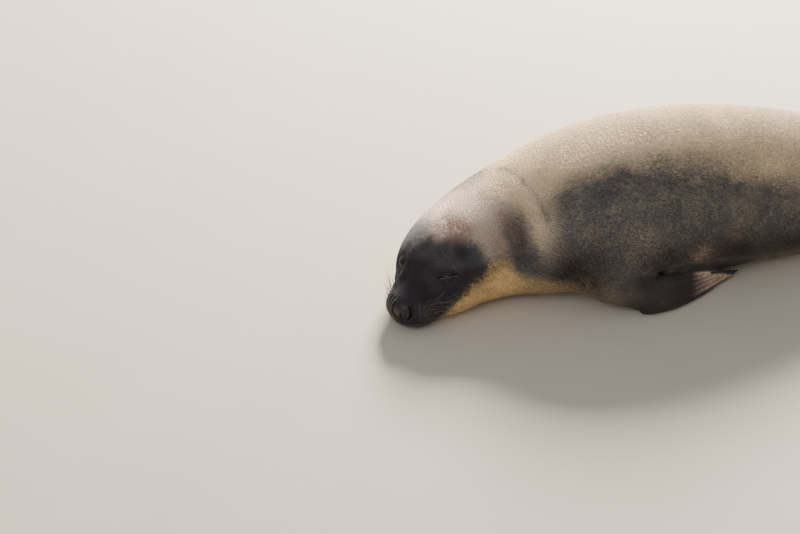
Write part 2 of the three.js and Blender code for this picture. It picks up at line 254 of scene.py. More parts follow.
def deselect():
    if bpy.context.object and bpy.context.object.mode != "OBJECT":
        bpy.ops.object.mode_set(mode="OBJECT")
    bpy.ops.object.select_all(action="DESELECT")


def activate(piece):
    deselect()
    piece.select_set(True)
    bpy.context.view_layer.objects.active = piece


def coordinates(piece):
    flat = np.empty(len(piece.data.vertices) * 3, np.float32)
    piece.data.vertices.foreach_get("co", flat)
    return flat.reshape(-1, 3).astype(float)


def set_coordinates(piece, points):
    piece.data.vertices.foreach_set("co", points.astype(np.float32).ravel())
    piece.data.update()


def normals(piece):
    flat = np.empty(len(piece.data.vertices) * 3, np.float32)
    piece.data.vertex_normals.foreach_get("vector", flat)
    return flat.reshape(-1, 3).astype(float)


def nearest(piece, point):
    """The place on a piece's surface that is nearest to a point, and the way that it faces there."""
    place, normal = piece.closest_point_on_mesh(Vector(point))[1:3]
    return np.array(place), np.array(normal)


def apply_modifier(piece, kind, **settings):
    activate(piece)
    modifier = piece.modifiers.new(kind.lower(), kind)
    for name, value in settings.items():
        setattr(modifier, name, value)
    bpy.ops.object.modifier_apply(modifier=modifier.name)


def mesh_edges(piece):
    flat = np.empty(len(piece.data.edges) * 2, np.int32)
    piece.data.edges.foreach_get("vertices", flat)
    return flat.reshape(-1, 2)


def smoothed(points, edges, rounds, weights, shrink=0.5, swell=-0.52):
    """Smoothing that alternates shrinking and swelling, so that the whole keeps its size."""
    count = len(points)
    degree = np.maximum(np.bincount(edges.ravel(), minlength=count), 1)[:, None]
    for turn in range(rounds * 2):
        total = np.empty_like(points)
        for axis in range(3):
            total[:, axis] = np.bincount(edges[:, 0], points[edges[:, 1], axis], minlength=count)
            total[:, axis] += np.bincount(edges[:, 1], points[edges[:, 0], axis], minlength=count)
        factor = shrink if turn % 2 == 0 else swell
        points = points + factor * weights[:, None] * (total / degree - points)
    return points


def copy_node(name):
    """A copy of a CAD node with its own mesh, its doubles merged."""
    copy = frame["nodes"][name].copy()
    copy.data = copy.data.copy()
    copy.parent = None
    copy.matrix_world = Matrix.Identity(4)
    copy.modifiers.clear()
    copy.data.materials.clear()
    bpy.context.scene.collection.objects.link(copy)
    activate(copy)
    bpy.ops.object.mode_set(mode="EDIT")
    bpy.ops.mesh.select_all(action="SELECT")
    bpy.ops.mesh.remove_doubles(threshold=0.02 * MM)
    bpy.ops.object.mode_set(mode="OBJECT")
    return copy


def join(pieces, name):
    activate(pieces[0])
    for piece in pieces:
        piece.select_set(True)
    bpy.ops.object.join()
    joined = pieces[0]
    joined.name = joined.data.name = name
    return joined


def face_centres(piece):
    flat = np.empty(len(piece.data.polygons) * 3, np.float32)
    piece.data.polygons.foreach_get("center", flat)
    return flat.reshape(-1, 3).astype(float)


def subdivide_where(piece, chosen):
    """Each chosen face is cut in four."""
    activate(piece)
    bpy.context.tool_settings.mesh_select_mode = (False, False, True)
    bpy.ops.object.mode_set(mode="EDIT")
    bpy.ops.mesh.select_all(action="DESELECT")
    bpy.ops.object.mode_set(mode="OBJECT")
    piece.data.polygons.foreach_set("select", np.asarray(chosen(face_centres(piece)), bool))
    bpy.ops.object.mode_set(mode="EDIT")
    bpy.ops.mesh.subdivide(number_cuts=1)
    bpy.ops.object.mode_set(mode="OBJECT")


# The skin.

def flipper_zone(points):
    """1 on the flippers, 0 on the body."""
    fore = (np.abs(points[:, 0]) > 190 * MM) & (points[:, 2] < 90 * MM)
    fore &= (points[:, 1] > -230 * MM) & (points[:, 1] < 75 * MM)
    hind = points[:, 1] > 640 * MM
    return (fore | hind).astype(float)


def fine_zone(points):
    """1 at the digits of the fore flippers and at the armpits."""
    places = folded(points)
    digits = near_path(places, FORE_BLADE)[0] < 36 * MM
    armpit = np.linalg.norm(places - np.array(ARMPIT) * MM, axis=1) < 46 * MM
    return (digits | armpit).astype(float)


def fit_zone(points):
    """1 on the parts of the flippers whose skin is laid back on the solids."""
    fore = rise(near_path(folded(points), FORE_BLADE)[0], 60 * MM, 45 * MM)
    return np.maximum(fore, rise(points[:, 1], 710 * MM, 790 * MM))


def fit_flippers(skin, flesh):
    """The flippers' skin, swollen so that the remesh keeps their webs, is laid back on the solids."""
    points = coordinates(skin)
    facing = normals(skin)
    share = fit_zone(points)
    for index in np.flatnonzero(share > 0):
        target = nearest(flesh, points[index])[0] - facing[index] * FLIPPER_COAT
        if np.linalg.norm(target - points[index]) < FIT_REACH:
            points[index] += share[index] * (target - points[index])
    set_coordinates(skin, smoothed(points, mesh_edges(skin), 4, share, 0.5, -0.3))


def join_flesh():
    """The flesh of the frame as one closed surface, and the same solids as they are, to measure from."""
    names = [*FLESH, "eye_left", "eye_right"]
    flesh = join([copy_node(name) for name in names], "flesh")
    copies = [copy_node(name) for name in names]
    for copy in copies:
        if copy.name.startswith("hind_flipper"):
            apply_modifier(copy, "DISPLACE", strength=WEB_SWELL, mid_level=0)
    for centre, out, back, up in EYE_FRAMES.values():
        deselect()
        bpy.ops.mesh.primitive_uv_sphere_add(segments=24, ring_count=12, radius=1)
        filler = bpy.context.object
        out = Vector(out)
        turn = out.to_track_quat("Z", "Y").to_matrix().to_4x4()
        place = Matrix.Translation((Vector(centre) + out * 12) * MM) @ turn
        filler.data.transform(place @ Matrix.Diagonal((28 * MM, 28 * MM, 12.5 * MM, 1)))
        copies.append(filler)
    skin = join(copies, "skin")
    apply_modifier(skin, "REMESH", mode="VOXEL", voxel_size=VOXEL)
    keep_outer_shell(skin)
    return skin, flesh


def keep_outer_shell(piece):
    """Deletes what isn't joined to the highest point, such as bubbles inside."""
    highest = int(np.argmax(coordinates(piece)[:, 2]))
    activate(piece)
    bpy.context.tool_settings.mesh_select_mode = (True, False, False)
    bpy.ops.object.mode_set(mode="EDIT")
    bpy.ops.mesh.select_all(action="DESELECT")
    bpy.ops.object.mode_set(mode="OBJECT")
    piece.data.vertices[highest].select = True
    bpy.ops.object.mode_set(mode="EDIT")
    bpy.ops.mesh.select_linked()
    bpy.ops.mesh.select_all(action="INVERT")
    bpy.ops.mesh.delete(type="VERT")
    bpy.ops.object.mode_set(mode="OBJECT")


def thin_body(skin, share):
    """The body's plain parts keep few faces, which are evened out and laid back on the full surface.

    The roughness that these parts are given first makes the faces that are left alike in size.
    """
    full = skin.copy()
    full.data = skin.data.copy()
    bpy.context.scene.collection.objects.link(full)
    points = coordinates(skin)
    plain = 1 - fine_share(points)
    rough = random.normal(0, 1.2 * MM, len(points)) * rise(plain, BARELY_PLAIN, 0.6)
    set_coordinates(skin, points + normals(skin) * rough[:, None])
    group = skin.vertex_groups.new(name="plain")
    for level in np.linspace(0.1, 1, 10):
        chosen = np.flatnonzero(np.abs(plain - level) < 0.05)
        group.add(chosen.tolist(), float(level), "REPLACE")
    apply_modifier(skin, "DECIMATE", ratio=share, vertex_group="plain", vertex_group_factor=1.5)
    skin.vertex_groups.clear()
    points = coordinates(skin)
    plain = 1 - fine_share(points)
    weights = rise(plain, BARELY_PLAIN, 0.4) * (1 - fit_zone(points))
    moved = smoothed(points, mesh_edges(skin), 4, weights, 0.5, 0.5)
    bpy.context.view_layer.update()
    for index in np.flatnonzero(plain > BARELY_PLAIN):
        moved[index] = nearest(full, moved[index])[0]
    set_coordinates(skin, moved)
    bpy.data.objects.remove(full)


def fine_share(points):
    """How much of the first faces a part keeps: all on the head, most on the flippers, few on the body."""
    along = body_places(points)[0]
    head = rise(along, 500 * MM, 180 * MM)
    return np.maximum.reduce([head, 0.85 * flipper_zone(points), fine_zone(points)])


def coat_depth(points):
    """How far the skin lies inside the solids, which take in the coat."""
    back, left, up = face_places(points)
    depth = 3.0 * MM - 1.8 * MM * rise(back, 330 * MM, 150 * MM) * (points[:, 1] < 0)
    depth = np.where(flipper_zone(points) > 0, FLIPPER_COAT, depth)
    return depth * (1 - fit_zone(points))


def soften(skin):
    """The solids' flat facets are rounded off while all the skin's faces are still of one size."""
    points = coordinates(skin)
    edges = mesh_edges(skin)
    flippers = flipper_zone(points)
    along = body_places(points)[0]
    points = smoothed(points, edges, 6, 1 - 0.75 * flippers, 0.5, 0.5)
    plain = (1 - flippers) * (1 - fit_zone(points))
    points = smoothed(points, edges, 12, rise(along, 150 * MM, 260 * MM) * plain, 0.5, 0.5)
    points = smoothed(points, edges, 44, rise(along, 240 * MM, 460 * MM) * plain, 0.5, 0.5)
    set_coordinates(skin, points)


def draw_in(skin):
    """The skin is drawn in by the coat's depth."""
    points = coordinates(skin)
    points = smoothed(points, mesh_edges(skin), 3, np.ones(len(points)))
    set_coordinates(skin, points)
    points = points - normals(skin) * coat_depth(points)[:, None]
    set_coordinates(skin, rest_on_floor(points))


def rest_on_floor(points):
    points[:, 2] = np.maximum(points[:, 2], 0.6 * MM)
    return points


def refine(skin):
    """Small faces at the digits and on the head: smaller on the muzzle and round the eyes."""
    def head_front(centres):
        back = face_places(centres)[0]
        return (back < 168 * MM) & (centres[:, 1] < 0) & (centres[:, 2] > 8 * MM)

    def muzzle_and_eyes(centres):
        back, left, up = face_places(centres)
        side = np.abs(left - nose_lean(back))
        near = (back < 56 * MM) | ((back < 112 * MM) & (up < 98 * MM) & (side > 28 * MM))
        near &= (centres[:, 1] < 0) & (up > 21 * MM)
        for side in EYE_FRAMES:
            near |= eye_places(centres, side)[3] < 38 * MM
        return near

    def digits_and_armpits(centres):
        return fine_zone(centres) > 0

    subdivide_where(skin, digits_and_armpits)
    relax(skin, digits_and_armpits, 2)
    subdivide_where(skin, head_front)
    relax(skin, head_front, 2)
    subdivide_where(skin, muzzle_and_eyes)
    relax(skin, muzzle_and_eyes, 2)


def relax(skin, zone, rounds):
    points = coordinates(skin)
    weights = zone(points).astype(float)
    set_coordinates(skin, smoothed(points, mesh_edges(skin), rounds, weights, 0.5, -0.3))


# The face. Places are in mm, in the head's own frame: back from the nose, to the left of the middle, up.
NOSE_LEAN = 11 * MM
MOUTH_BACK = np.array([-20, 20, 60, 104, 128, 142, 146]) * MM
MOUTH_UP = np.array([25, 25, 25, 30, 28, 14, -28]) * MM

# The whiskers' rows run back and down, from the top row to the bottom one.
ROWS_START = np.array([(38, 86), (26, 38)]) * MM
ROWS_END = np.array([(104, 72), (90, 35)]) * MM
WHISKERS_IN_ROW = [5, 7, 8, 8, 7, 5]
BROW_BACK = 140
BRIDGE_HAIR_BACK = 69

# Fine lines of the left half of the face, each with its depth and half its width in mm.
FACE_LINES = {
    "nostril": (
        [(21, 18, 80), (17, 24, 73), (14, 25, 64), (13, 23, 56), (12, 18, 50)], 8.0, 2.7,
    ),
    "wing of the nostril": (
        [(30, 14, 90), (28, 28, 86), (23, 34, 74), (20, 34, 58), (15, 27, 44)], 1.8, 3.4,
    ),
    "front of the whisker pad": (
        [(42, 30, 95), (38, 35, 86), (30, 40, 66), (25, 39, 42), (22, 34, 32)], 2.4, 4.2,
    ),
    "top of the whisker pad": (
        [(40, 32, 94), (60, 44, 96), (84, 58, 92), (106, 72, 78), (114, 80, 58)], 2.6, 6.0,
    ),
    "hollow before the eye": (
        [(74, 38, 112), (92, 50, 116), (108, 60, 118)], 1.6, 7.0,
    ),
}
PHILTRUM = [(-3, 0, 68), (-2, 0, 56), (0, 0, 46), (4, 0, 36), (8, 0, 28)]
EARS = {"left": (214, 85, 200), "right": (214, -85, 200)}


def nose_lean(back):
    """The soft nose leans to the left, less and less towards the eyes."""
    return NOSE_LEAN * bell(back, 45 * MM)


def on_side(path, side):
    """A path on the left half of the face, or its mirror image on the right."""
    sign = 1 if side == "left" else -1
    return [(back, sign * left + nose_lean(back * MM) / MM, up) for back, left, up in path]


def laid_on(skin, path, step=3.0):
    """A path in mm with a point at every few mm, each moved to the nearest place on the skin."""
    path = [np.array(point, float) for point in path]
    points = []
    for start, end in zip(path[:-1], path[1:]):
        count = max(int(np.linalg.norm(end - start) / step), 1)
        points += [start + (end - start) * number / count for number in range(count)]
    points.append(path[-1])
    return [nearest(skin, point * MM)[0] / MM for point in points]


def find_face_lines(skin):
    """The lines of both halves of the face on the skin: by name, path, depth and half width."""
    lines = []
    for side in EYE_FRAMES:
        for name, (path, depth, width) in FACE_LINES.items():
            path = laid_on(skin, [head_place(*point) for point in on_side(path, side)])
            lines.append((name, path, depth, width))
    path = laid_on(skin, [head_place(*point) for point in on_side(PHILTRUM, "left")])
    lines.append(("philtrum", path, 3.0, 2.4))
    return lines


def skin_at(skin, back, up, side, from_above=None):
    """The place on the skin at a side of the face, and the way that the skin faces there."""
    sign = 1 if side == "left" else -1
    roll = HEAD_ROLL
    across = HEAD_LEFT * math.cos(roll) + np.array([0, 0, math.sin(roll)])
    rising = np.array([0, 0, math.cos(roll)]) - HEAD_LEFT * math.sin(roll)
    centre = float(np.interp(back, WIDEST_ALONG, WIDEST_HEIGHT))
    middle = NOSE_PLACE + HEAD_BACK * back + np.array([0, 0, centre])
    if from_above is None:
        start = middle + rising * (up - centre) + across * sign * 0.2
        way = -across * sign
    else:
        start = middle + across * sign * from_above + rising * 0.3
        way = -rising
    place, normal = skin.ray_cast(Vector(start), Vector(way))[1:3]
    return np.array(place), np.array(normal)


def find_vibrissae(skin):
    """The roots of the feeling hairs: kind, side, how low the row is, share of the row, place and normal."""
    roots = []
    for side in EYE_FRAMES:
        for row, count in enumerate(WHISKERS_IN_ROW):
            down = row / (len(WHISKERS_IN_ROW) - 1)
            first = ROWS_START[0] + (ROWS_START[1] - ROWS_START[0]) * down
            last = ROWS_END[0] + (ROWS_END[1] - ROWS_END[0]) * down
            for number in range(count):
                share = (number + 0.25 + 0.5 * (row % 2)) / (count - 0.25)
                back, up = first + (last - first) * share + random.normal(0, 0.7 * MM, 2)
                place, normal = skin_at(skin, back, up, side)
                roots.append(("whisker", side, down, share, place, normal))
        for row in range(3):
            for number in range(3):
                back = (BROW_BACK - 9 + 8.5 * row + 2 * number) * MM + random.normal(0, 0.8 * MM)
                left = (29 + 8 * number + 2 * row) * MM + random.normal(0, 0.8 * MM)
                place, normal = skin_at(skin, back, 0, side, from_above=left)
                roots.append(("brow", side, row / 2, number / 2, place, normal))
        place, normal = skin_at(skin, BRIDGE_HAIR_BACK * MM, 0, side, from_above=26 * MM)
        roots.append(("bridge", side, 0, 0, place, normal))
    return roots


def from_roots(points, roots):
    """How far each point is from the nearest root of a feeling hair."""
    distance = np.full(len(points), 1.0)
    head = np.flatnonzero(points[:, 1] < -0.6)
    for root in roots:
        apart = np.linalg.norm(points[head] - root[4], axis=1)
        distance[head] = np.minimum(distance[head], apart)
    return distance


def push(skin, amount_of):
    """Moves each point of the skin out along its normal by an amount."""
    points = coordinates(skin)
    set_coordinates(skin, points + normals(skin) * amount_of(points)[:, None])


def face_forms(points):
    """How far the soft forms of the face stand out: whisker pads, brows, and hollows between them."""
    back, left, up = face_places(points)
    lean = left - nose_lean(back)
    side = np.abs(lean)
    front = rise(back, 260 * MM, 200 * MM) * (points[:, 1] < 0)
    pad = plateau(back - 66 * MM, 42 * MM) * plateau(up - 60 * MM, 29 * MM) * rise(side, 20 * MM, 42 * MM)
    right = rise(-lean, 22 * MM, 46 * MM)
    amount = 3.4 * MM * pad + 4.0 * MM * pad * right
    amount += 9.0 * MM * bell(back - 92 * MM, 30 * MM) * bell(up - 104 * MM, 30 * MM) * right
    hollow = bell(back - 90 * MM, 22 * MM) * bell(side - 30 * MM, 16 * MM) * rise(up, 80 * MM, 110 * MM)
    amount -= 3.4 * MM * hollow * (1 - right)
    top = rise(up, 120 * MM, 150 * MM)
    amount += 2.6 * MM * bell(back - 140 * MM, 16 * MM) * bell(side - 40 * MM, 18 * MM) * top
    amount -= 2.0 * MM * bell(back - 150 * MM, 34 * MM) * bell(side, 13 * MM) * top
    return amount * front


def face_creases(points):
    """How far the nostrils and the fine grooves of the face go in, and their edges stand out."""
    back, left, up = face_places(points)
    amount = np.zeros(len(points))
    head = np.flatnonzero(points[:, 1] < -0.6)
    for name, path, depth, width in face_lines:
        distance, share = near_path(points[head], path)
        ends = rise(share, 0, 0.2) * rise(share, 1, 0.8)
        if name == "nostril":
            amount[head] -= depth * MM * plateau(distance, width * MM)
            amount[head] += 1.3 * MM * bell(distance - 5.6 * MM, 2.2 * MM)
        else:
            amount[head] -= depth * MM * bell(distance, width * MM) * ends
    for ear in EARS.values():
        distance = np.linalg.norm(points[head] - head_place(*ear) * MM, axis=1)
        rim = distance - 6.0 * MM
        amount[head] += 1.4 * MM * bell(rim, 2.6 * MM) - 4.0 * MM * plateau(distance, 3.4 * MM)
    from_mouth = np.abs(up - np.interp(back, MOUTH_BACK, MOUTH_UP))
    mouth = rise(back, 138 * MM, 126 * MM) * (points[:, 1] < 0)
    amount -= 3.6 * MM * bell(from_mouth, 2.0 * MM) * mouth
    amount += 1.0 * MM * bell(from_mouth - 4.6 * MM, 2.2 * MM) * mouth
    return amount


def hair_pits(points):
    """A small ringed pit at the root of each feeling hair."""
    distance = from_roots(points, vibrissae)
    return 0.9 * MM * bell(distance - 2.4 * MM, 1.1 * MM) - 1.2 * MM * bell(distance, 1.2 * MM)


def shape_eyes(skin):
    """Lids over the eyeballs, a slit between them where the eye shows, and the folds of the lids."""
    for side, half in SLIT_HALF.items():
        points = coordinates(skin)
        slit, across, out, radius = eye_places(points, side)
        centre = np.array(EYE_FRAMES[side][0]) * MM
        wide = np.abs(slit)
        flat = np.hypot(slit, across)
        over = rise(flat, 30 * MM, 17 * MM) * (out > 0) * (radius < 60 * MM)
        lid = LID_RADIUS + 0.6 * MM * bell(across, 9 * MM)
        share = np.clip(slit / half, -1, 1)
        shape = np.sqrt(np.maximum(1 - share ** 2, 0))
        line = -1.2 * MM * shape
        gap = EYE_OPEN[side] * shape ** 0.7 * (wide < half)
        beyond = np.maximum(wide - half * 0.98, 0)
        from_line = np.hypot(np.maximum(np.abs(across - line) - gap, 0), beyond)
        new_radius = radius + over * 0.9 * (lid - radius)
        ridge = 1.3 * MM * bell(from_line - 2.6 * MM, 2.0 * MM)
        upper = across - line - 9.5 * MM - 1.5 * MM * shape
        strong = 2.2 * FOLD_STRENGTH[side] * MM
        fold = strong * bell(upper, 1.8 * MM) * rise(wide, half * 1.3, half * 0.7)
        brow = strong * bell(upper - 6 * MM, 4.5 * MM) * rise(wide, half * 1.4, half * 0.6)
        lower = across - line + 8 * MM + 1.5 * MM * shape
        under = 1.3 * MM * bell(lower, 1.8 * MM) * rise(wide, half, half * 0.6)
        near = (out > 0) * (flat < 45 * MM)
        new_radius += (ridge + brow - fold - under) * near
        opening = bell(from_line, 0.9 * MM) * near
        new_radius += opening * (LID_FLOOR - new_radius)
        scale = new_radius / np.maximum(radius, 1e-6)
        set_coordinates(skin, centre + (points - centre) * scale[:, None])


# The body's folds, in mm. Each has its path, its depth and half its width; one with a depth below 0 stands out.
# The armpit's are those of the left one, and the right one mirrors them.
NECK_FOLDS = [
    (
        [(-60, -525, 280), (-23, -507, 296), (29, -492, 301),
         (76, -479, 298), (122, -467, 285), (165, -455, 255)],
        4.5, 9,
    ),
    ([(-20, -545, 285), (40, -528, 284), (92, -512, 272), (140, -497, 246)], 1.6, 8),
    ([(60, -455, 312), (112, -440, 300), (160, -425, 270), (196, -415, 228)], 1.8, 10),
]
ARMPIT_FOLDS = [
    ([(246, -184, 96), (252, -198, 100), (254, -216, 104), (252, -238, 106)], -7.0, 8),
    ([(240, -176, 106), (246, -190, 116), (250, -210, 122), (252, -236, 122)], 5.0, 5),
    ([(234, -168, 92), (236, -158, 108), (236, -146, 128), (230, -134, 150)], 4.5, 4.5),
    ([(228, -150, 90), (232, -138, 104), (230, -122, 122), (224, -106, 138)], 3.6, 4.5),
    ([(236, -166, 104), (238, -172, 124), (234, -170, 148)], 2.6, 4.0),
    ([(262, -200, 104), (270, -222, 108), (272, -248, 106), (268, -275, 98)], 2.4, 6),
    (
        [(250, -176, 90), (240, -156, 82), (222, -134, 72), (217, -106, 71), (214, -60, 68), (206, -20, 62)],
        8.0, 5,
    ),
]


def body_folds(points):
    amount = np.zeros(len(points))
    mirrored = points * np.array([-1, 1, 1])
    for path, depth, width in NECK_FOLDS:
        distance, share = near_path(points, path)
        amount -= depth * MM * bell(distance, width * MM) * rise(share, 0, 0.2) * rise(share, 1, 0.75)
    for path, depth, width in ARMPIT_FOLDS:
        for places in (points, mirrored):
            distance, share = near_path(places, path)
            amount -= depth * MM * bell(distance, width * MM) * rise(share, 1, 0.7)
    along = body_places(points)[0]
    amount += 2.4 * MM * (mottle(points, 150 * MM, 3) - 0.5) * rise(along, 380 * MM, 520 * MM)
    amount += 0.9 * MM * (mottle(points, 38 * MM, 4) - 0.5) * rise(along, 200 * MM, 420 * MM)
    return amount


# Knuckles and tips of a fore flipper's digits and a hind flipper's, in mm, as the solids have them.
FORE_DIGITS = {"first": (268, -120, 14), "last": (228, -92, 66), "through": (0.84, 0, 0.55),
               "tips": [(174, 58, 11), (183, 46, 20), (192, 30, 29), (202, 11, 38), (213, -12, 47)]}
HIND_DIGITS = {"first": (72, 840, 34), "last": (128, 836, 30), "through": (0, 0, 1),
               "tips": [(60, 1172, 12), (94, 1096, 9), (122, 1072, 8), (154, 1084, 9), (216, 1146, 12)]}


def digit_rays(digits):
    """The middle line of each digit, from its knuckle to its tip."""
    first, last, tips = np.array(digits["first"]), np.array(digits["last"]), digits["tips"]
    steps = len(tips) - 1
    return [(first + (last - first) * number / steps, np.array(tip)) for number, tip in enumerate(tips)]


def between_digits(digits):
    rays = digit_rays(digits)
    return [((a[0] + b[0]) / 2, (a[1] + b[1]) / 2) for a, b in zip(rays[:-1], rays[1:])]


def across_blade(points, digits, start, end):
    """How far points are from a line, seen square to its blade, how far along it, and if near it at all."""
    through = np.array(digits["through"], float)
    line = np.array([start, end], float)
    near = rise(near_path(points, line)[0], 34 * MM, 24 * MM)
    flat_points = points - (points @ through)[:, None] * through
    flat_line = line - (line @ through)[:, None] * through
    distance, share = near_path(flat_points, flat_line)
    return distance, share, near


def flipper_grooves(points):
    """Digits that stand out of the blade, grooves between them, and skin raised over the claws' roots."""
    amount = np.zeros(len(points))
    for places in (points, points * np.array([-1, 1, 1])):
        for digits, depth, width in ((FORE_DIGITS, 3.6, 4.0), (HIND_DIGITS, 4.0, 7.5)):
            for start, end in between_digits(digits):
                distance, share, near = across_blade(places, digits, start, end)
                amount -= depth * MM * bell(distance, width * MM) * rise(share, 0.0, 0.4) * near
            for start, end in digit_rays(digits):
                distance, share, near = across_blade(places, digits, start, end)
                bulge = 1.3 * MM * bell(distance, 1.4 * width * MM) * rise(share, 0.2, 0.7)
                amount += bulge * rise(share, 1.0, 0.93) * near
        for start, end in digit_rays(FORE_DIGITS):
            forward = (end - start) / np.linalg.norm(end - start)
            root = (end - 15 * forward + 6 * np.array(FORE_DIGITS["through"])) * MM
            amount += 3.6 * MM * bell(np.linalg.norm(places - root, axis=1), 6.5 * MM)
    return amount


skin, flesh = join_flesh()
soften(skin)
thin_body(skin, 0.25)
fit_flippers(skin, flesh)
bpy.data.objects.remove(flesh)
draw_in(skin)
refine(skin)
push(skin, face_forms)
shape_eyes(skin)
face_lines = find_face_lines(skin)
push(skin, face_creases)
vibrissae = find_vibrissae(skin)
push(skin, hair_pits)
push(skin, body_folds)
push(skin, flipper_grooves)
set_coordinates(skin, rest_on_floor(coordinates(skin)))


# The markings, worked out alike for the skin and for the coat over it. The pale sandy mark is partly painted
# sunlight on the top of the back, and the brown and the golden ones hold some painted shade.
MARKS = ["sand_and_sunlight", "dark", "crown", "golden", "brown_and_shade", "bare", "pale", "russet"]

# How low the sandy dust and the painted sunlight on the back reach round the body, and how high the golden fur
# and the cheek's do, along the spine.
DUST_AND_SUNLIGHT_ALONG = np.array([380, 470, 560, 760, 1000, 1400]) * MM
DUST_AND_SUNLIGHT_LOW = [0.3, 0.6, 0.78, 0.78, 0.55, 0.2]
GOLDEN_ALONG = np.array([90, 130, 170, 230, 290, 340, 450, 620, 900]) * MM
GOLDEN_TOP = [-0.35, -0.02, 0.16, 0.34, 0.3, 0.02, -0.16, -0.36, -0.5]
CHEEK_ALONG = np.array([90, 130, 170, 230]) * MM
CHEEK_TOP = [-0.35, -0.02, 0.16, 0.3]

# How far back along the spine the mask ends, in mm, round the head.
MASK_AROUND = [0.3, 0.8, 1.15, 1.5]
MASK_END = [214, 212, 198, 170]


def look_over(points):
    """Where points are on the seal, and the blotches and the grain there, each from -0.5 to 0.5."""
    at = SimpleNamespace(points=points)
    at.along, at.sideways, at.around = body_places(points)[:3]
    at.back, at.left, at.up = face_places(points)
    at.head = (points[:, 1] < 0).astype(float)
    at.wide = mottle(points, 80 * MM, 11) - 0.5
    at.small = mottle(points, 24 * MM, 12) - 0.5
    at.grain = mottle(points, 5 * MM, 13) - 0.5
    at.fine = mottle(points, 2.4 * MM, 14) - 0.5
    at.rough = 0.5 * at.wide + 0.3 * at.small + 0.2 * at.grain
    at.flippers = fore_share(points)
    at.hind = rise(points[:, 1] + 50 * MM * at.wide, 640 * MM, 860 * MM)
    return at


def behind_head(at):
    """1 past the edge behind the head where the sandy dust and the painted sunlight on the back start."""
    edge = (346 + 66 * np.clip(1.35 - at.around, -0.3, 1.3)) * MM
    reach = at.along + 16 * MM * at.small + 30 * MM * at.grain + 22 * MM * at.fine
    return rise(reach, edge - 14 * MM, edge + 22 * MM)


def dust_and_sunlight_on_back(at, behind):
    """Sandy dust lies on the back and the neck, and thins out down the flanks. The same pale colour also stands
    for painted sunlight: it grows towards the top of the back and reaches lower down the right flank.
    """
    low = np.interp(at.along, DUST_AND_SUNLIGHT_ALONG, DUST_AND_SUNLIGHT_LOW) - 0.3 * rise(at.sideways, 40 * MM, -120 * MM)
    height = at.around + 0.26 * at.rough + 0.16 * at.fine + 0.1 * at.grain
    # Painted sunlight: the pale colour grows towards the top of the back, over the real sandy dust.
    sand_and_sunlight = behind * rise(height, low - 0.04, low + 0.5)
    neck_band = rise(at.along, 540 * MM, 430 * MM) * rise(at.around + 0.4 * at.rough, 0.05, 0.7)
    flank = 0.08 + 0.12 * at.wide + 0.12 * at.small + 0.24 * at.grain + 0.26 * at.fine
    sand_and_sunlight = np.maximum(sand_and_sunlight, behind * np.clip(np.maximum(0.85 * neck_band, flank), 0, 1))
    deepest_fold = NECK_FOLDS[0][0]
    sand_and_sunlight = sand_and_sunlight * (1 - 0.75 * bell(near_path(at.points, deepest_fold)[0], 7 * MM))
    return sand_and_sunlight * (1 - at.flippers) * (1 - 0.6 * at.hind)


def darken_mask(at, reach, cheek_line):
    """The dark mask covers the muzzle and the eyes, and fades softly behind them."""
    dark = rise(at.along, reach + 42 * MM, reach - 44 * MM)
    cheek = rise(at.around + 0.6 * at.rough + 0.24 * at.fine, cheek_line - 0.26, cheek_line + 0.34)
    dark = dark * np.maximum(cheek, rise(at.back, 104 * MM, 84 * MM)) * at.head
    forehead = rise(at.back, 112 * MM, 138 * MM) * rise(at.up, 132 * MM, 152 * MM)
    dark = dark * (1 - (0.5 + 0.4 * at.grain) * forehead)
    lip = rise(at.up, 33 * MM, 24 * MM) * rise(at.along, 150 * MM, 120 * MM) * at.head
    pads = plateau(at.back - 68 * MM, 38 * MM) * plateau(at.up - 56 * MM, 24 * MM)
    pads = pads * rise(np.abs(at.left - nose_lean(at.back)), 26 * MM, 46 * MM) * at.head
    dark = dark * (1 - 0.5 * lip) * (1 - (0.36 + 0.4 * at.grain) * pads)
    for centre in eye_centres:
        away = np.linalg.norm(at.points - centre, axis=1)
        dark = np.maximum(dark, (0.98 + 0.3 * at.rough) * bell(away, 36 * MM))
    temple = bell(at.along - 180 * MM, 25 * MM) * bell(at.around - 0.96, 0.27) * rise(at.left, 0, 20 * MM)
    return np.maximum(dark, (0.92 + 0.4 * at.rough) * temple)


def redden_crown(at, behind):
    """A patch of worn russet fur over the left eye, and two small ones behind it."""
    russet = bell(at.along - 222 * MM, 44 * MM) * rise(at.around, 0.9, 1.15)
    russet = russet * rise(at.small + at.wide + at.grain, -0.9, 0.05) * rise(at.sideways, -60 * MM, -25 * MM)
    lower = bell(at.along - 290 * MM, 20 * MM) * bell(at.around - 0.66, 0.16) * (0.5 + at.grain + at.small)
    upper = bell(at.along - 345 * MM, 20 * MM) * bell(at.around - 0.95, 0.22) * (0.7 + at.grain)
    return np.maximum.reduce([russet, lower, upper]) * (1 - behind)


def gild_throat(at, dark):
    """Golden fur runs from the cheeks along the throat, and fades to tan along the belly; the fading is partly
    painted shade under the neck and the belly.
    """
    top = np.interp(at.along, GOLDEN_ALONG, GOLDEN_TOP)
    golden = rise(at.around + 0.5 * at.rough + 0.24 * at.fine, top + 0.18, top - 0.2)
    golden = golden * rise(at.along, 80 * MM, 135 * MM)
    # Painted shade: the golden fur fades out under the neck and the belly.
    fading_and_belly_shade = 0.5 * rise(at.along, 285 * MM, 400 * MM) + 0.28 * rise(at.along, 430 * MM, 600 * MM)
    golden = golden * (1 - fading_and_belly_shade) * np.clip(0.9 + 0.5 * at.small + 0.5 * at.grain, 0, 1)
    return golden * (1 - at.flippers) * (1 - 0.7 * rise(dark, 0.3, 0.9))


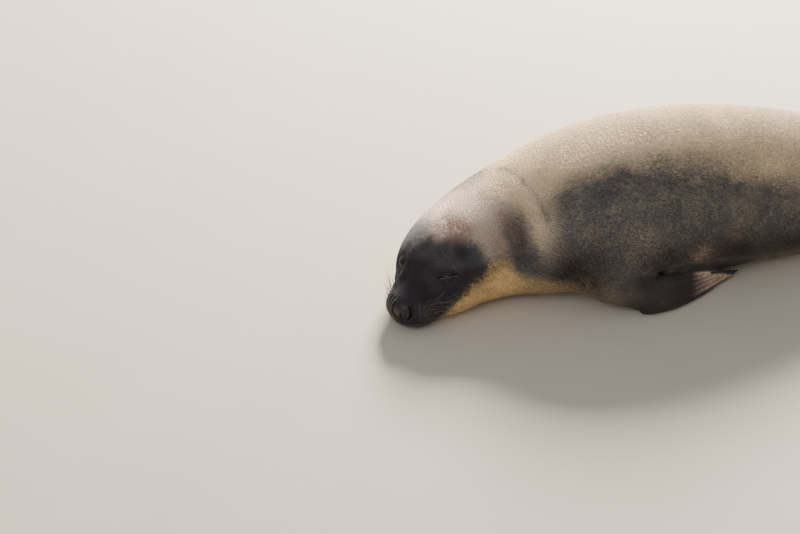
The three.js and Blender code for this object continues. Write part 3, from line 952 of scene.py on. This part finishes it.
def brown_fur_and_shade(at, nape, cheek_line):
    """Brown fur on the nape, the shoulder and the low flank, and between the mask and the golden throat. The
    shoulder's brown reaches down under the neck as painted contact shadow, and the low flank's brown is partly
    painted shade.
    """
    # Painted shadow: the shoulder's brown patch reaches low, under the neck where the body rests on the floor.
    shoulder_brown_and_shadow = 1.05 * bell(at.along - 540 * MM, 100 * MM) * bell(at.around + 0.1, 0.34)
    # Painted shade over brown fur: darker along the low flank.
    low_flank_brown_and_shade = rise(at.along, 620 * MM, 800 * MM) * bell(at.around + 0.24, 0.3) * (0.8 + 0.5 * at.wide)
    border = 0.8 * bell(at.around + 0.4 * at.rough - cheek_line, 0.2) * rise(at.along, 110 * MM, 150 * MM)
    border = border * rise(at.along, 330 * MM, 250 * MM) * at.head
    patches = np.maximum(nape, shoulder_brown_and_shadow) * (0.95 + at.rough + 0.6 * at.grain)
    return np.clip(np.maximum.reduce([patches, low_flank_brown_and_shade, border]), 0, 1) * (1 - at.flippers)


def flipper_marks(at):
    """The brown and the pale of the flippers: pale digits in front, dark furrows behind."""
    digits = np.zeros(len(at.points))
    furrows = np.zeros(len(at.points))
    for places in (at.points, at.points * np.array([-1, 1, 1])):
        for start, end in digit_rays(FORE_DIGITS):
            distance, share, near = across_blade(places, FORE_DIGITS, start, end)
            digits = np.maximum(digits, bell(distance, 5 * MM) * rise(share, 0.1, 0.6) * near)
        for start, end in between_digits(HIND_DIGITS):
            distance, share, near = across_blade(places, HIND_DIGITS, start, end)
            furrows = np.maximum(furrows, bell(distance, 8 * MM) * rise(share, 0.0, 0.3) * near)
    arm = at.flippers * np.clip(0.92 + 0.9 * at.rough - 0.72 * digits, 0, 1)
    hind_brown = at.hind * np.clip(0.22 + 0.9 * furrows + 0.9 * at.rough, 0, 1)
    pale_digits = at.flippers * digits * (0.8 + 0.8 * at.grain)
    pale_hind = at.hind * (1 - furrows) * (0.75 + 0.8 * at.wide + 0.5 * at.grain)
    return np.maximum(arm, hind_brown), np.maximum(pale_digits, pale_hind)


def bare_skin(at):
    """Skin without fur: on the nose, at the feeling hairs' roots, in the ears and a little of it behind."""
    bare = np.maximum(nose_pad(at.points), 0.15 * at.hind)
    bare = np.maximum(bare, 0.9 * bell(from_roots(at.points, vibrissae), 1.7 * MM))
    for ear in EARS.values():
        away = np.linalg.norm(at.points - head_place(*ear) * MM, axis=1)
        bare = np.maximum(bare, bell(away, 4.5 * MM))
    return bare


def markings(points):
    """How strongly each colour shows at each point, from 0 to 1, by name."""
    at = look_over(points)
    behind = behind_head(at)
    mask_end = np.interp(at.around, MASK_AROUND, MASK_END)
    reach = (mask_end + 44 * at.rough + 20 * at.fine) * MM
    cheek_line = np.interp(at.along, CHEEK_ALONG, CHEEK_TOP)
    nape = 1.3 * bell(at.along - 354 * MM, 52 * MM) * bell(at.around - 0.62, 0.4)
    off_nape = 1 - 0.8 * np.clip(nape, 0, 1)

    # Sandy dust, and painted sunlight on the top of the back.
    sand_and_sunlight = dust_and_sunlight_on_back(at, behind)
    dark = darken_mask(at, reach, cheek_line)
    golden = gild_throat(at, dark)
    crown = at.head * rise(at.along, reach - 8 * MM, reach + 48 * MM) * (1 - behind)
    crown = crown * (0.42 + 0.58 * rise(at.around + 0.5 * at.rough, 0.5, 1.2))
    crown = crown * rise(at.around + 0.3 * at.rough, 0.25, 0.6)
    warm = 0.75 * crown * bell(at.around - 0.74, 0.38) * np.clip(0.8 + at.small + at.grain, 0, 1)
    crown, warm = crown * off_nape, warm * off_nape
    flipper_brown, flipper_pale = flipper_marks(at)
    # Brown fur, with painted shade low on the flank and under the neck.
    brown_and_shade = np.maximum(brown_fur_and_shade(at, nape, cheek_line), flipper_brown)
    belly_spot = 0.55 * bell(at.along - 875 * MM, 28 * MM) * bell(at.around + 0.2, 0.1) * (1 + 2 * at.grain)
    pale = np.maximum.reduce([flipper_pale, belly_spot, warm])

    bare = bare_skin(at)
    for side, half in SLIT_HALF.items():
        slit, across, out, radius = eye_places(points, side)
        near = (radius < 32 * MM) * (out > 0) * rise(np.abs(slit), half * 1.05, half * 0.6)
        under = bell(across + 4.5 * MM, 2.4 * MM) * near
        crown = np.maximum(crown, 0.3 * under)
        dark = dark * (1 - 0.3 * under)
        bare = np.maximum(bare, bell(across + 1.2 * MM, 2.0 * MM) * near)
    values = [sand_and_sunlight, dark, crown, golden, brown_and_shade, bare, pale, redden_crown(at, behind)]
    return {name: np.clip(value, 0, 1) for name, value in zip(MARKS, values)}


def fore_share(points):
    """From 0 on the body to 1 on a fore flipper, with a soft step between."""
    distance, share = near_path(folded(points), FORE_ARM)
    width = (62 - 16 * share) * MM + 16 * MM * (mottle(points, 18 * MM, 15) - 0.5)
    near = rise(distance, width + 26 * MM, width - 12 * MM)
    return near * rise(share, 0.0, 0.22) * (points[:, 2] < 120 * MM)


def nose_pad(points):
    """1 on the bare pad round the nostrils."""
    back, left, up = face_places(points)
    side = left - nose_lean(back)
    apart = np.sqrt((side / 27) ** 2 + ((up - 64 * MM) / 20) ** 2 + ((back - 8 * MM) / 30) ** 2) / MM
    return rise(apart, 1.15, 0.85) * (points[:, 1] < 0)


def eye_gap(points):
    """How far each point is from the slit of the nearer eye."""
    gap = np.full(len(points), 1.0)
    for side, half in SLIT_HALF.items():
        slit, across, out, radius = eye_places(points, side)
        beyond = np.maximum(np.abs(slit) - half, 0)
        apart = np.hypot(across, beyond)
        gap = np.where((out > 0) & (radius < 60 * MM), np.minimum(gap, apart), gap)
    return gap


def store(piece, values):
    for name, numbers in values.items():
        layer = piece.data.attributes.new(name, "FLOAT", "POINT")
        layer.data.foreach_set("value", np.asarray(numbers, np.float32))


eye_centres = [np.array(values[0]) * MM for values in EYE_FRAMES.values()]


# Materials.

def srgb(red, green, blue):
    """A colour given as on a paint chart, as Blender counts it."""
    parts = [value / 255 for value in (red, green, blue)]
    return tuple(p / 12.92 if p <= 0.04045 else ((p + 0.055) / 1.055) ** 2.4 for p in parts) + (1,)


COLOURS = {
    "base": srgb(84, 83, 84),
    # Sandy dust, and the painted sunlight on the top of the back.
    "sand_and_sunlight": srgb(230, 206, 172),
    # Brown fur, also used as painted shade low on the flank and under the neck.
    "brown_and_shade": srgb(50, 40, 37),
    "golden": srgb(234, 196, 132),
    "crown": srgb(224, 203, 186),
    "russet": srgb(146, 118, 106),
    "dark": srgb(36, 31, 36),
    "pale": srgb(200, 170, 146),
    "bare": srgb(24, 21, 25),
}


def add_node(tree, kind, place, **settings):
    node = tree.nodes.new(kind)
    node.location = place
    for name, value in settings.items():
        setattr(node, name, value)
    return node


def add_sockets(tree, inputs, outputs):
    for name, value in inputs.items():
        socket = tree.interface.new_socket(name, in_out="INPUT", socket_type="NodeSocketFloat")
        socket.default_value = value
    for name, kind in outputs.items():
        tree.interface.new_socket(name, in_out="OUTPUT", socket_type=kind)


def mix_colour(tree, factor, first, second, place, blend="MIX"):
    """A node that mixes two colours; each may be a socket or a plain colour."""
    node = add_node(tree, "ShaderNodeMix", place, data_type="RGBA", blend_type=blend)
    for index, value in ((0, factor), (6, first), (7, second)):
        if isinstance(value, (tuple, float, int)):
            node.inputs[index].default_value = value
        else:
            tree.links.new(value, node.inputs[index])
    return node.outputs[2]


def calculate(tree, operation, first, second, place):
    node = add_node(tree, "ShaderNodeMath", place, operation=operation)
    for index, value in enumerate((first, second)):
        if isinstance(value, (float, int)):
            node.inputs[index].default_value = value
        else:
            tree.links.new(value, node.inputs[index])
    return node.outputs[0]


def noise(tree, vector, scale, detail, place):
    node = add_node(tree, "ShaderNodeTexNoise", place)
    node.inputs["Scale"].default_value = scale
    node.inputs["Detail"].default_value = detail
    tree.links.new(vector, node.inputs["Vector"])
    return node.outputs["Fac"]


def between(tree, value, low, high, place):
    """Spreads a noise of 0.3 to 0.7 over a new range."""
    node = add_node(tree, "ShaderNodeMapRange", place)
    node.inputs["From Min"].default_value = 0.3
    node.inputs["From Max"].default_value = 0.7
    node.inputs["To Min"].default_value = low
    node.inputs["To Max"].default_value = high
    tree.links.new(value, node.inputs["Value"])
    return node.outputs["Result"]


def hide_group():
    """The seal's colours, mixed by the markings, with the speckle and the grain of short fur and leather, and a
    tone that on the coat also holds painted light on the tufts' tips.
    """
    tree = bpy.data.node_groups.new("seal_hide", "ShaderNodeTree")
    inputs = {name: 0.0 for name in MARKS}
    inputs.update({"tone_and_tip_light": 0.5, "speckle": 0.12})
    outputs = {"Color": "NodeSocketColor", "Roughness": "NodeSocketFloat", "Height": "NodeSocketFloat"}
    add_sockets(tree, inputs, outputs)
    entry = add_node(tree, "NodeGroupInput", (-1400, 0))
    leave = add_node(tree, "NodeGroupOutput", (900, 0))
    places = add_node(tree, "ShaderNodeTexCoord", (-1400, -400)).outputs["Object"]
    colour = COLOURS["base"]
    for step, name in enumerate(["sand_and_sunlight", "brown_and_shade", "golden", "crown", "russet", "pale", "dark", "bare"]):
        colour = mix_colour(tree, entry.outputs[name], colour, COLOURS[name], (-1100 + 170 * step, 200))
    blotches = noise(tree, places, 14.0, 3.0, (-1100, -300))
    grains = noise(tree, places, 420.0, 2.0, (-1100, -500))
    streaks = noise(tree, places, 95.0, 3.0, (-1100, -700))
    spread = between(tree, blotches, 0.93, 1.06, (-800, -300))
    dots = between(tree, grains, -1.0, 1.0, (-800, -500))
    dots = calculate(tree, "MULTIPLY", dots, entry.outputs["speckle"], (-600, -500))
    shade = calculate(tree, "ADD", spread, dots, (-400, -400))
    soft = between(tree, streaks, -0.06, 0.06, (-800, -700))
    shade = calculate(tree, "ADD", shade, soft, (-200, -450))
    # The tone lightens or darkens the colour; on the coat it carries painted light on the tufts' tips.
    tone_and_tip_light = calculate(tree, "MULTIPLY", entry.outputs["tone_and_tip_light"], 0.5, (-400, -150))
    tone_and_tip_light = calculate(tree, "ADD", tone_and_tip_light, 0.75, (-200, -150))
    shade = calculate(tree, "MULTIPLY", shade, tone_and_tip_light, (0, -300))
    joined = add_node(tree, "ShaderNodeCombineColor", (200, -300))
    for index in range(3):
        tree.links.new(shade, joined.inputs[index])
    colour = mix_colour(tree, 1.0, colour, joined.outputs[0], (420, 100), blend="MULTIPLY")
    tree.links.new(colour, leave.inputs["Color"])
    wet = calculate(tree, "MULTIPLY", entry.outputs["bare"], -0.28, (200, -600))
    dusty = calculate(tree, "MULTIPLY", entry.outputs["sand_and_sunlight"], 0.2, (200, -750))
    sleek = calculate(tree, "MULTIPLY", entry.outputs["dark"], -0.08, (200, -680))
    dusty = calculate(tree, "ADD", dusty, sleek, (300, -700))
    roughness = calculate(tree, "ADD", wet, dusty, (400, -650))
    roughness = calculate(tree, "ADD", roughness, 0.66, (600, -650))
    tree.links.new(roughness, leave.inputs["Roughness"])
    height = calculate(tree, "ADD", grains, streaks, (200, -900))
    tree.links.new(height, leave.inputs["Height"])
    return tree


def hide_material(name, group, speckle, bump, sheen, has_tone_and_tip_light):
    """A material of the seal's hide that reads the piece's own markings."""
    material = bpy.data.materials.new(name)
    material.use_nodes = True
    tree = material.node_tree
    shader = tree.nodes["Principled BSDF"]
    hide = add_node(tree, "ShaderNodeGroup", (-300, 200), node_tree=group)
    hide.inputs["speckle"].default_value = speckle
    for step, mark in enumerate(MARKS + (["tone_and_tip_light"] if has_tone_and_tip_light else [])):
        reader = add_node(tree, "ShaderNodeAttribute", (-600, 500 - 170 * step), attribute_name=mark)
        tree.links.new(reader.outputs["Fac"], hide.inputs[mark])
    tree.links.new(hide.outputs["Color"], shader.inputs["Base Color"])
    tree.links.new(hide.outputs["Roughness"], shader.inputs["Roughness"])
    bumps = add_node(tree, "ShaderNodeBump", (-60, -200))
    bumps.inputs["Strength"].default_value = bump
    bumps.inputs["Distance"].default_value = 0.6 * MM
    tree.links.new(hide.outputs["Height"], bumps.inputs["Height"])
    tree.links.new(bumps.outputs["Normal"], shader.inputs["Normal"])
    shader.inputs["Sheen Weight"].default_value = sheen
    shader.inputs["Sheen Roughness"].default_value = 0.4
    shader.inputs["Specular IOR Level"].default_value = 0.35
    return material


def plain_material(name, colour, roughness, scale, depth, coat=0.0):
    """A horn-like or glassy finish with a fine cloud of lighter and darker parts."""
    material = bpy.data.materials.new(name)
    material.use_nodes = True
    tree = material.node_tree
    shader = tree.nodes["Principled BSDF"]
    places = add_node(tree, "ShaderNodeTexCoord", (-900, 0)).outputs["Object"]
    cloud = noise(tree, places, scale, 3.0, (-700, 0))
    share = between(tree, cloud, 0.0, 1.0, (-500, 0))
    dark = tuple(part * (1 - depth) for part in colour[:3]) + (1,)
    light = tuple(min(part * (1 + depth) + 0.01 * depth, 1) for part in colour[:3]) + (1,)
    tree.links.new(mix_colour(tree, share, dark, light, (-300, 0)), shader.inputs["Base Color"])
    shader.inputs["Roughness"].default_value = roughness
    shader.inputs["Coat Weight"].default_value = coat
    bumps = add_node(tree, "ShaderNodeBump", (-300, -300))
    bumps.inputs["Strength"].default_value = 0.2 if roughness > 0.2 else 0.02
    bumps.inputs["Distance"].default_value = 0.3 * MM
    tree.links.new(cloud, bumps.inputs["Height"])
    tree.links.new(bumps.outputs["Normal"], shader.inputs["Normal"])
    return material


# The coat: short flat tufts in regions, each region a piece of its own. A piece has its region, its side or
# None, the number of its tufts, a tuft's length, width, thickness and lift in mm, and its slot.
FACE, NECK, SHOULDERS, TRUNK, HIPS, FLIPPERS = range(6)
COATS = {
    "coat_face": (FACE, None, 47000, 4.2, 1.0, 0.25, 0.5, "face"),
    "coat_neck": (NECK, None, 46000, 7.5, 1.6, 0.4, 1.2, "throat"),
    "coat_shoulders": (SHOULDERS, None, 48000, 9.5, 2.0, 0.5, 1.8, "back"),
    "coat_trunk_left": (TRUNK, 1, 47000, 10.5, 2.2, 0.5, 2.0, "back"),
    "coat_trunk_right": (TRUNK, -1, 47000, 10.5, 2.2, 0.5, 2.0, "back"),
    "coat_hips": (HIPS, None, 42000, 9.5, 2.1, 0.5, 1.8, "back"),
    "coat_flippers": (FLIPPERS, None, 34000, 4.2, 1.1, 0.22, 0.3, "flipper"),
}

ROOT_DEPTH = 0.3 * MM
CLEAR_OF_EYES = 5 * MM
CLEAR_OF_HAIRS = 1.7 * MM
PATCH_SIZE = 0.003


def region_of(points):
    along = body_places(points)[0]
    region = np.select([along < 200 * MM, along < 470 * MM, along < 780 * MM, along < 1300 * MM],
                       [FACE, NECK, SHOULDERS, TRUNK], HIPS)
    hind_line = (710 + 60 * (mottle(points, 26 * MM, 16) - 0.5)) * MM
    return np.where((fore_share(points) > 0.5) | (points[:, 1] > hind_line), FLIPPERS, region)


def triangles(piece):
    """The piece's triangles: the points and the loops of their corners, and the face each is part of."""
    piece.data.calc_loop_triangles()
    count = len(piece.data.loop_triangles)
    corners = np.empty(count * 3, np.int32)
    loops = np.empty(count * 3, np.int32)
    faces = np.empty(count, np.int32)
    piece.data.loop_triangles.foreach_get("vertices", corners)
    piece.data.loop_triangles.foreach_get("loops", loops)
    piece.data.loop_triangles.foreach_get("polygon_index", faces)
    return corners.reshape(-1, 3), loops.reshape(-1, 3), faces


def unwrap(piece, chosen):
    """Lays the chosen faces of the skin out flat, and gives the place of each corner on that sheet."""
    activate(piece)
    bpy.context.tool_settings.mesh_select_mode = (False, False, True)
    bpy.ops.object.mode_set(mode="EDIT")
    bpy.ops.mesh.select_all(action="DESELECT")
    bpy.ops.object.mode_set(mode="OBJECT")
    piece.data.polygons.foreach_set("select", chosen)
    bpy.ops.object.mode_set(mode="EDIT")
    bpy.ops.uv.smart_project(angle_limit=math.radians(75), island_margin=0.002)
    bpy.ops.object.mode_set(mode="OBJECT")
    flat = np.empty(len(piece.data.loops) * 2, np.float32)
    piece.data.uv_layers.active.data.foreach_get("uv", flat)
    return flat.reshape(-1, 2)


def lie_of(points, facing):
    """The way the hair lies, back along the body, down its sides and flat on the skin, and across it."""
    along, _, around, turn = body_places(points)
    swirl = 0.35 * (mottle(points, 70 * MM, 31) - 0.5) + 0.12 * random.normal(size=len(points))
    downward = 0.55 * rise(around, 1.5, 0.4) * rise(around, -0.9, -0.2) * rise(along, 60 * MM, 300 * MM)
    way = np.stack([-np.sin(turn), np.cos(turn), -downward], -1)
    way -= facing * (way * facing).sum(-1)[:, None]
    way /= np.maximum(np.linalg.norm(way, axis=1), 1e-6)[:, None]
    across = np.cross(facing, way)
    way = way * np.cos(swirl)[:, None] + across * np.sin(swirl)[:, None]
    return way, np.cross(facing, way)


def lay_down(roots, reaches, lifts):
    """The tufts' tips, close over the skin; a tuft that would leave the skin at a crease is shortened."""
    laid = np.empty_like(roots)
    for index, (root, reach) in enumerate(zip(roots, reaches)):
        length = np.linalg.norm(reach)
        for share in (1.0, 0.55, 0.25):
            tip = root + reach * share
            place, normal = nearest(skin, tip)
            if np.linalg.norm(place - tip) < 0.3 * length * share:
                break
        laid[index] = place + normal * lifts[index] * share
    return laid


def scatter_roots(chosen_faces, count):
    """Places spread over some faces of the skin, the way it faces there, and their places on its sheet."""
    sheet = unwrap(skin, chosen_faces)
    mine = np.flatnonzero(chosen_faces[skin_faces])
    corners = skin_corners[mine]
    a, b, c = (skin_points[corners[:, i]] for i in range(3))
    areas = np.linalg.norm(np.cross(b - a, c - a), axis=1) / 2
    reach = np.cumsum(areas)
    picks = (np.arange(count) + random.random(count)) / count * reach[-1]
    chosen = np.minimum(np.searchsorted(reach, picks), len(mine) - 1)
    u, v = random.random((2, count))
    over = u + v > 1
    u[over], v[over] = 1 - u[over], 1 - v[over]
    shares = np.stack([1 - u - v, u, v], -1)[..., None]
    roots = (skin_points[corners[chosen]] * shares).sum(1)
    facing = (skin_normals[corners[chosen]] * shares).sum(1)
    facing /= np.linalg.norm(facing, axis=1)[:, None]
    places = (sheet[skin_loops[mine[chosen]]] * shares).sum(1)
    return roots, facing, places


def tuft_scale(region, roots):
    """How large each tuft is for its region: smaller on the face, and alike where hips and flippers meet."""
    scale = random.uniform(0.7, 1.25, len(roots))
    if region == HIPS:
        scale = scale * (1 - 0.45 * rise(roots[:, 1], 560 * MM, 710 * MM))
    if region == FLIPPERS:
        scale = scale * (1 + 0.3 * rise(roots[:, 1], 820 * MM, 720 * MM) * (roots[:, 1] > 0.6))
    if region == FACE:
        scale = scale * (0.55 + 0.75 * rise(body_places(roots)[0], 40 * MM, 190 * MM))
    return scale[:, None]


def tuft_corners(roots, way, across, facing, size):
    """Each tuft's four corners: left and right at the root, the top of its ridge, and its tip."""
    length, width, thick, lift = size
    lifts = lift * random.uniform(0.35, 1.0, len(roots))[:, None]
    left = roots + across * width / 2 - facing * ROOT_DEPTH
    right = roots - across * width / 2 - facing * ROOT_DEPTH
    ridge = roots + way * length * 0.3 + facing * (thick + 0.35 * lifts)
    tip = lay_down(roots, way * length, lifts * 0.8)
    points = np.stack([left, right, ridge, tip], 1).reshape(-1, 3)
    points[:, 2] = np.maximum(points[:, 2], 0.2 * MM)
    return points


def tuft_mesh(name, points, places):
    """Tufts as thin closed pyramids of four faces, each with its own small patch at its root's place."""
    pattern = np.array([[0, 2, 1], [0, 3, 2], [1, 2, 3], [0, 1, 3]])
    faces = (np.arange(len(places))[:, None, None] * 4 + pattern[None]).reshape(-1, 3)
    mesh = bpy.data.meshes.new(name)
    mesh.vertices.add(len(points))
    mesh.vertices.foreach_set("co", points.astype(np.float32).ravel())
    mesh.loops.add(len(faces) * 3)
    mesh.loops.foreach_set("vertex_index", faces.astype(np.int32).ravel())
    mesh.polygons.add(len(faces))
    mesh.polygons.foreach_set("loop_start", np.arange(0, len(faces) * 3, 3, dtype=np.int32))
    mesh.update(calc_edges=True)
    patch = np.array([(-1, -1), (1, -1), (0, 0), (0, 1)]) * PATCH_SIZE / 2
    spots = places[:, None, :] + patch[None]
    layer = mesh.uv_layers.new(name="OFBake")
    layer.data.foreach_set("uv", spots[:, pattern].reshape(-1, 2).astype(np.float32).ravel())
    return mesh


def grow_coat(name, region, half, count, length, width, thick, lift, slot_name):
    """One piece of the coat: tufts rooted in the skin and lying along it, where it isn't bare."""
    chosen_faces = face_regions == region
    if half is not None:
        chosen_faces &= face_middles[:, 0] * half > 0
    roots, facing, places = scatter_roots(chosen_faces, count)
    keep = (eye_gap(roots) > CLEAR_OF_EYES) & (from_roots(roots, vibrissae) > CLEAR_OF_HAIRS)
    keep &= (nose_pad(roots) < 0.4) & (roots[:, 2] > 1.0 * MM)
    marks = markings(roots)
    keep &= random.random(count) > 0.85 * marks["bare"]
    roots, facing, places = roots[keep], facing[keep], places[keep]
    way, across = lie_of(roots, facing)
    size = np.array([length, width, thick, lift])[:, None, None] * MM * tuft_scale(region, roots)
    mesh = tuft_mesh(name, tuft_corners(roots, way, across, facing, size), places)
    piece = bpy.data.objects.new(name, mesh)
    bpy.context.scene.collection.objects.link(piece)
    values = {mark: np.repeat(numbers[keep], 4) for mark, numbers in marks.items()}
    spread = 0.06 if region == FLIPPERS else 0.11
    tone_and_tip_light = np.clip(random.normal(0.52, spread, len(roots)), 0, 1)
    # Painted light: each tuft is darker at its root and lighter towards its tip, as if lit from behind, over
    # its own random tone.
    values["tone_and_tip_light"] = (tone_and_tip_light[:, None] + np.array([-0.08, -0.08, 0.03, 0.1])).ravel()
    store(piece, values)
    mesh.materials.append(coat_material)
    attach(piece, "root")


# The feeling hairs.
SIDES_OF_HAIR = 5
RINGS_OF_HAIR = 14


def hair_path(root):
    """The middle line of a feeling hair, and its thickness at the root."""
    kind, side, down, share, place, normal = root
    back_way = HEAD_BACK
    outward = HEAD_LEFT * (1 if side == "left" else -1)
    rising = np.array([0, 0, 1.0])
    if kind == "whisker":
        length = (9 + 66 * share ** 1.4 * (0.55 + 0.45 * math.sin(math.pi * (0.2 + 0.6 * down)))) * MM
        if side == "right":
            way = 0.75 * normal + 0.35 * back_way + (0.75 - 0.5 * down) * rising
            bend = 0.25 * back_way - 0.35 * outward + 0.3 * rising
        else:
            way = 0.75 * normal + 0.8 * back_way + (0.05 - 0.4 * down) * rising
            bend = 0.6 * back_way - 0.3 * outward - 0.4 * rising
        thick = 0.42 * MM + 0.25 * MM * share
    else:
        length = (13 if kind == "brow" else 9) * random.uniform(0.7, 1.2) * MM
        way = 0.8 * normal + 0.7 * back_way
        bend = 0.3 * back_way - 0.2 * normal
        thick = 0.36 * MM
    way = way + random.normal(0, 0.09, 3)
    way /= np.linalg.norm(way)
    steps = np.linspace(0, 1, RINGS_OF_HAIR)[:, None]
    path = place - normal * 1.0 * MM + (way * steps + bend * 0.5 * steps ** 2) * length
    path[:, 2] = np.maximum(path[:, 2], 1.2 * MM)
    return path, thick


def grow_hairs(name):
    """All the feeling hairs as one piece: tapered, with the fine beads that a seal's have."""
    points, faces, tones = [], [], []
    for root in vibrissae:
        path, thick = hair_path(root)
        along = np.gradient(path, axis=0)
        along /= np.linalg.norm(along, axis=1)[:, None]
        across = np.cross(along, np.array([0.1, 0.2, 1.0]))
        across /= np.linalg.norm(across, axis=1)[:, None]
        other = np.cross(along, across)
        first = len(points)
        for ring in range(RINGS_OF_HAIR):
            share = ring / (RINGS_OF_HAIR - 1)
            radius = thick * (1 - 0.82 * share) * (1 + 0.14 * (-1) ** ring)
            for corner in range(SIDES_OF_HAIR):
                angle = 2 * math.pi * corner / SIDES_OF_HAIR
                way = math.cos(angle) * across[ring] + math.sin(angle) * other[ring]
                points.append(path[ring] + radius * way)
                tones.append(share)
        for ring in range(RINGS_OF_HAIR - 1):
            for corner in range(SIDES_OF_HAIR):
                this = first + ring * SIDES_OF_HAIR + corner
                other_side = first + ring * SIDES_OF_HAIR + (corner + 1) % SIDES_OF_HAIR
                faces.append((this, other_side, other_side + SIDES_OF_HAIR, this + SIDES_OF_HAIR))
        faces.append(tuple(first + corner for corner in reversed(range(SIDES_OF_HAIR))))
        last = first + (RINGS_OF_HAIR - 1) * SIDES_OF_HAIR
        faces.append(tuple(last + corner for corner in range(SIDES_OF_HAIR)))
    mesh = bpy.data.meshes.new(name)
    mesh.from_pydata([tuple(point) for point in points], [], faces)
    mesh.update()
    piece = bpy.data.objects.new(name, mesh)
    bpy.context.scene.collection.objects.link(piece)
    store(piece, {"reach": tones})
    activate(piece)
    bpy.ops.object.shade_smooth()
    mesh.materials.append(whisker_material())
    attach(piece, "root")
    return piece


def whisker_material():
    """Dark at the root and pale horn towards the tip."""
    material = bpy.data.materials.new("whisker_horn")
    material.use_nodes = True
    tree = material.node_tree
    shader = tree.nodes["Principled BSDF"]
    reader = add_node(tree, "ShaderNodeAttribute", (-700, 0), attribute_name="reach")
    share = add_node(tree, "ShaderNodeMapRange", (-500, 0))
    share.inputs["From Min"].default_value = 0.15
    share.inputs["From Max"].default_value = 0.7
    tree.links.new(reader.outputs["Fac"], share.inputs["Value"])
    colour = mix_colour(tree, share.outputs["Result"], srgb(40, 32, 30), srgb(168, 152, 132), (-300, 0))
    tree.links.new(colour, shader.inputs["Base Color"])
    shader.inputs["Roughness"].default_value = 0.35
    return material


def sink_root(claw, side, ray):
    """Draws the claw's blunt root together and down into the skin."""
    mirror = np.array([1 if side == "left" else -1, 1, 1])
    forward = (ray[1] - ray[0]) / np.linalg.norm(ray[1] - ray[0]) * mirror
    through = np.array(FORE_DIGITS["through"]) * mirror
    points = coordinates(claw)
    ahead = points @ forward
    share = rise(ahead, ahead.min() + 0.4 * np.ptp(ahead), ahead.min())[:, None]
    middle = points.mean(axis=0)
    axis_places = middle + ((points - middle) @ forward)[:, None] * forward
    points += (axis_places - points) * 0.45 * share - through * 3.2 * MM * share ** 2
    set_coordinates(claw, points)


def make_claws(side):
    """One side's five claws: round, with growth rings, sharp at the tip."""
    copies = []
    for digit in range(1, 6):
        copy = copy_node(f"claw_{side}_{digit}")
        apply_modifier(copy, "SUBSURF", levels=2, render_levels=2)
        sink_root(copy, side, digit_rays(FORE_DIGITS)[digit - 1])
        copies.append(copy)
    claws = join(copies, f"claws_{side}")
    activate(claws)
    bpy.ops.object.shade_smooth()
    claws.data.materials.append(claw_material)
    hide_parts(*[f"claw_{side}_{digit}" for digit in range(1, 6)])
    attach(claws, "root")


def make_eyeball(side):
    """A round eyeball in place of the solid's faceted one."""
    ball = copy_node(f"eye_{side}")
    apply_modifier(ball, "SUBSURF", levels=2, render_levels=2)
    centre = np.array(EYE_FRAMES[side][0]) * MM
    points = coordinates(ball) - centre
    points *= EYEBALL_RADIUS / np.linalg.norm(points, axis=1)[:, None]
    set_coordinates(ball, points + centre)
    ball.name = ball.data.name = f"eyeball_{side}"
    activate(ball)
    bpy.ops.object.shade_smooth()
    ball.data.materials.append(eye_material)
    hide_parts(f"eye_{side}")
    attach(ball, "root")


hide = hide_group()
skin_material = hide_material("seal_skin", hide, 0.12, 0.7, 0.05, False)
coat_material = hide_material("seal_coat", hide, 0.08, 0.0, 0.1, True)
claw_material = plain_material("claw_horn", srgb(30, 27, 28), 0.32, 160.0, 0.5, 0.3)
eye_material = plain_material("wet_eye", srgb(20, 16, 16), 0.33, 60.0, 0.4, 0.12)

activate(skin)
bpy.ops.object.shade_smooth()
skin.data.materials.append(skin_material)
store(skin, markings(coordinates(skin)))
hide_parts(*FLESH)
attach(skin, "root")

skin_points, skin_normals = coordinates(skin), normals(skin)
face_middles = face_centres(skin)
face_regions = region_of(face_middles)
skin_corners, skin_loops, skin_faces = triangles(skin)
skin.data.uv_layers.new(name="sheet")
for name, settings in COATS.items():
    grow_coat(name, *settings)
skin.data.uv_layers.remove(skin.data.uv_layers["sheet"])

for side in EYE_FRAMES:
    make_claws(side)
    make_eyeball(side)
grow_hairs("feeling_hairs")


# The studio.

def area_light(name, place, aim, size, power, colour):
    light = bpy.data.objects.new(name, bpy.data.lights.new(name, "AREA"))
    light.data.size = size
    light.data.energy = power
    light.data.color = colour
    light.location = place
    light.rotation_euler = (Vector(place) - Vector(aim)).to_track_quat("Z", "Y").to_euler()
    bpy.context.scene.collection.objects.link(light)


aim_camera()
deselect()
bpy.ops.mesh.primitive_plane_add(size=30, location=(0, 0, 0))
floor = bpy.context.object
floor.name = "floor"
floor.data.materials.append(plain_material("floor_finish", srgb(216, 206, 190), 0.8, 3.0, 0.02))
area_light("key_light", (-4.6, 1.7, 2.7), (0, -0.2, 0.15), 1.6, 1600, (1.0, 0.92, 0.82))
area_light("fill_light", (3.5, -3.5, 3.0), (0, -0.3, 0.1), 4.0, 90, (0.95, 0.97, 1.0))
world = bpy.data.worlds.new("studio")
world.use_nodes = True
world.node_tree.nodes["Background"].inputs["Color"].default_value = (0.9, 0.89, 0.9, 1)
world.node_tree.nodes["Background"].inputs["Strength"].default_value = 0.4
bpy.context.scene.world = world
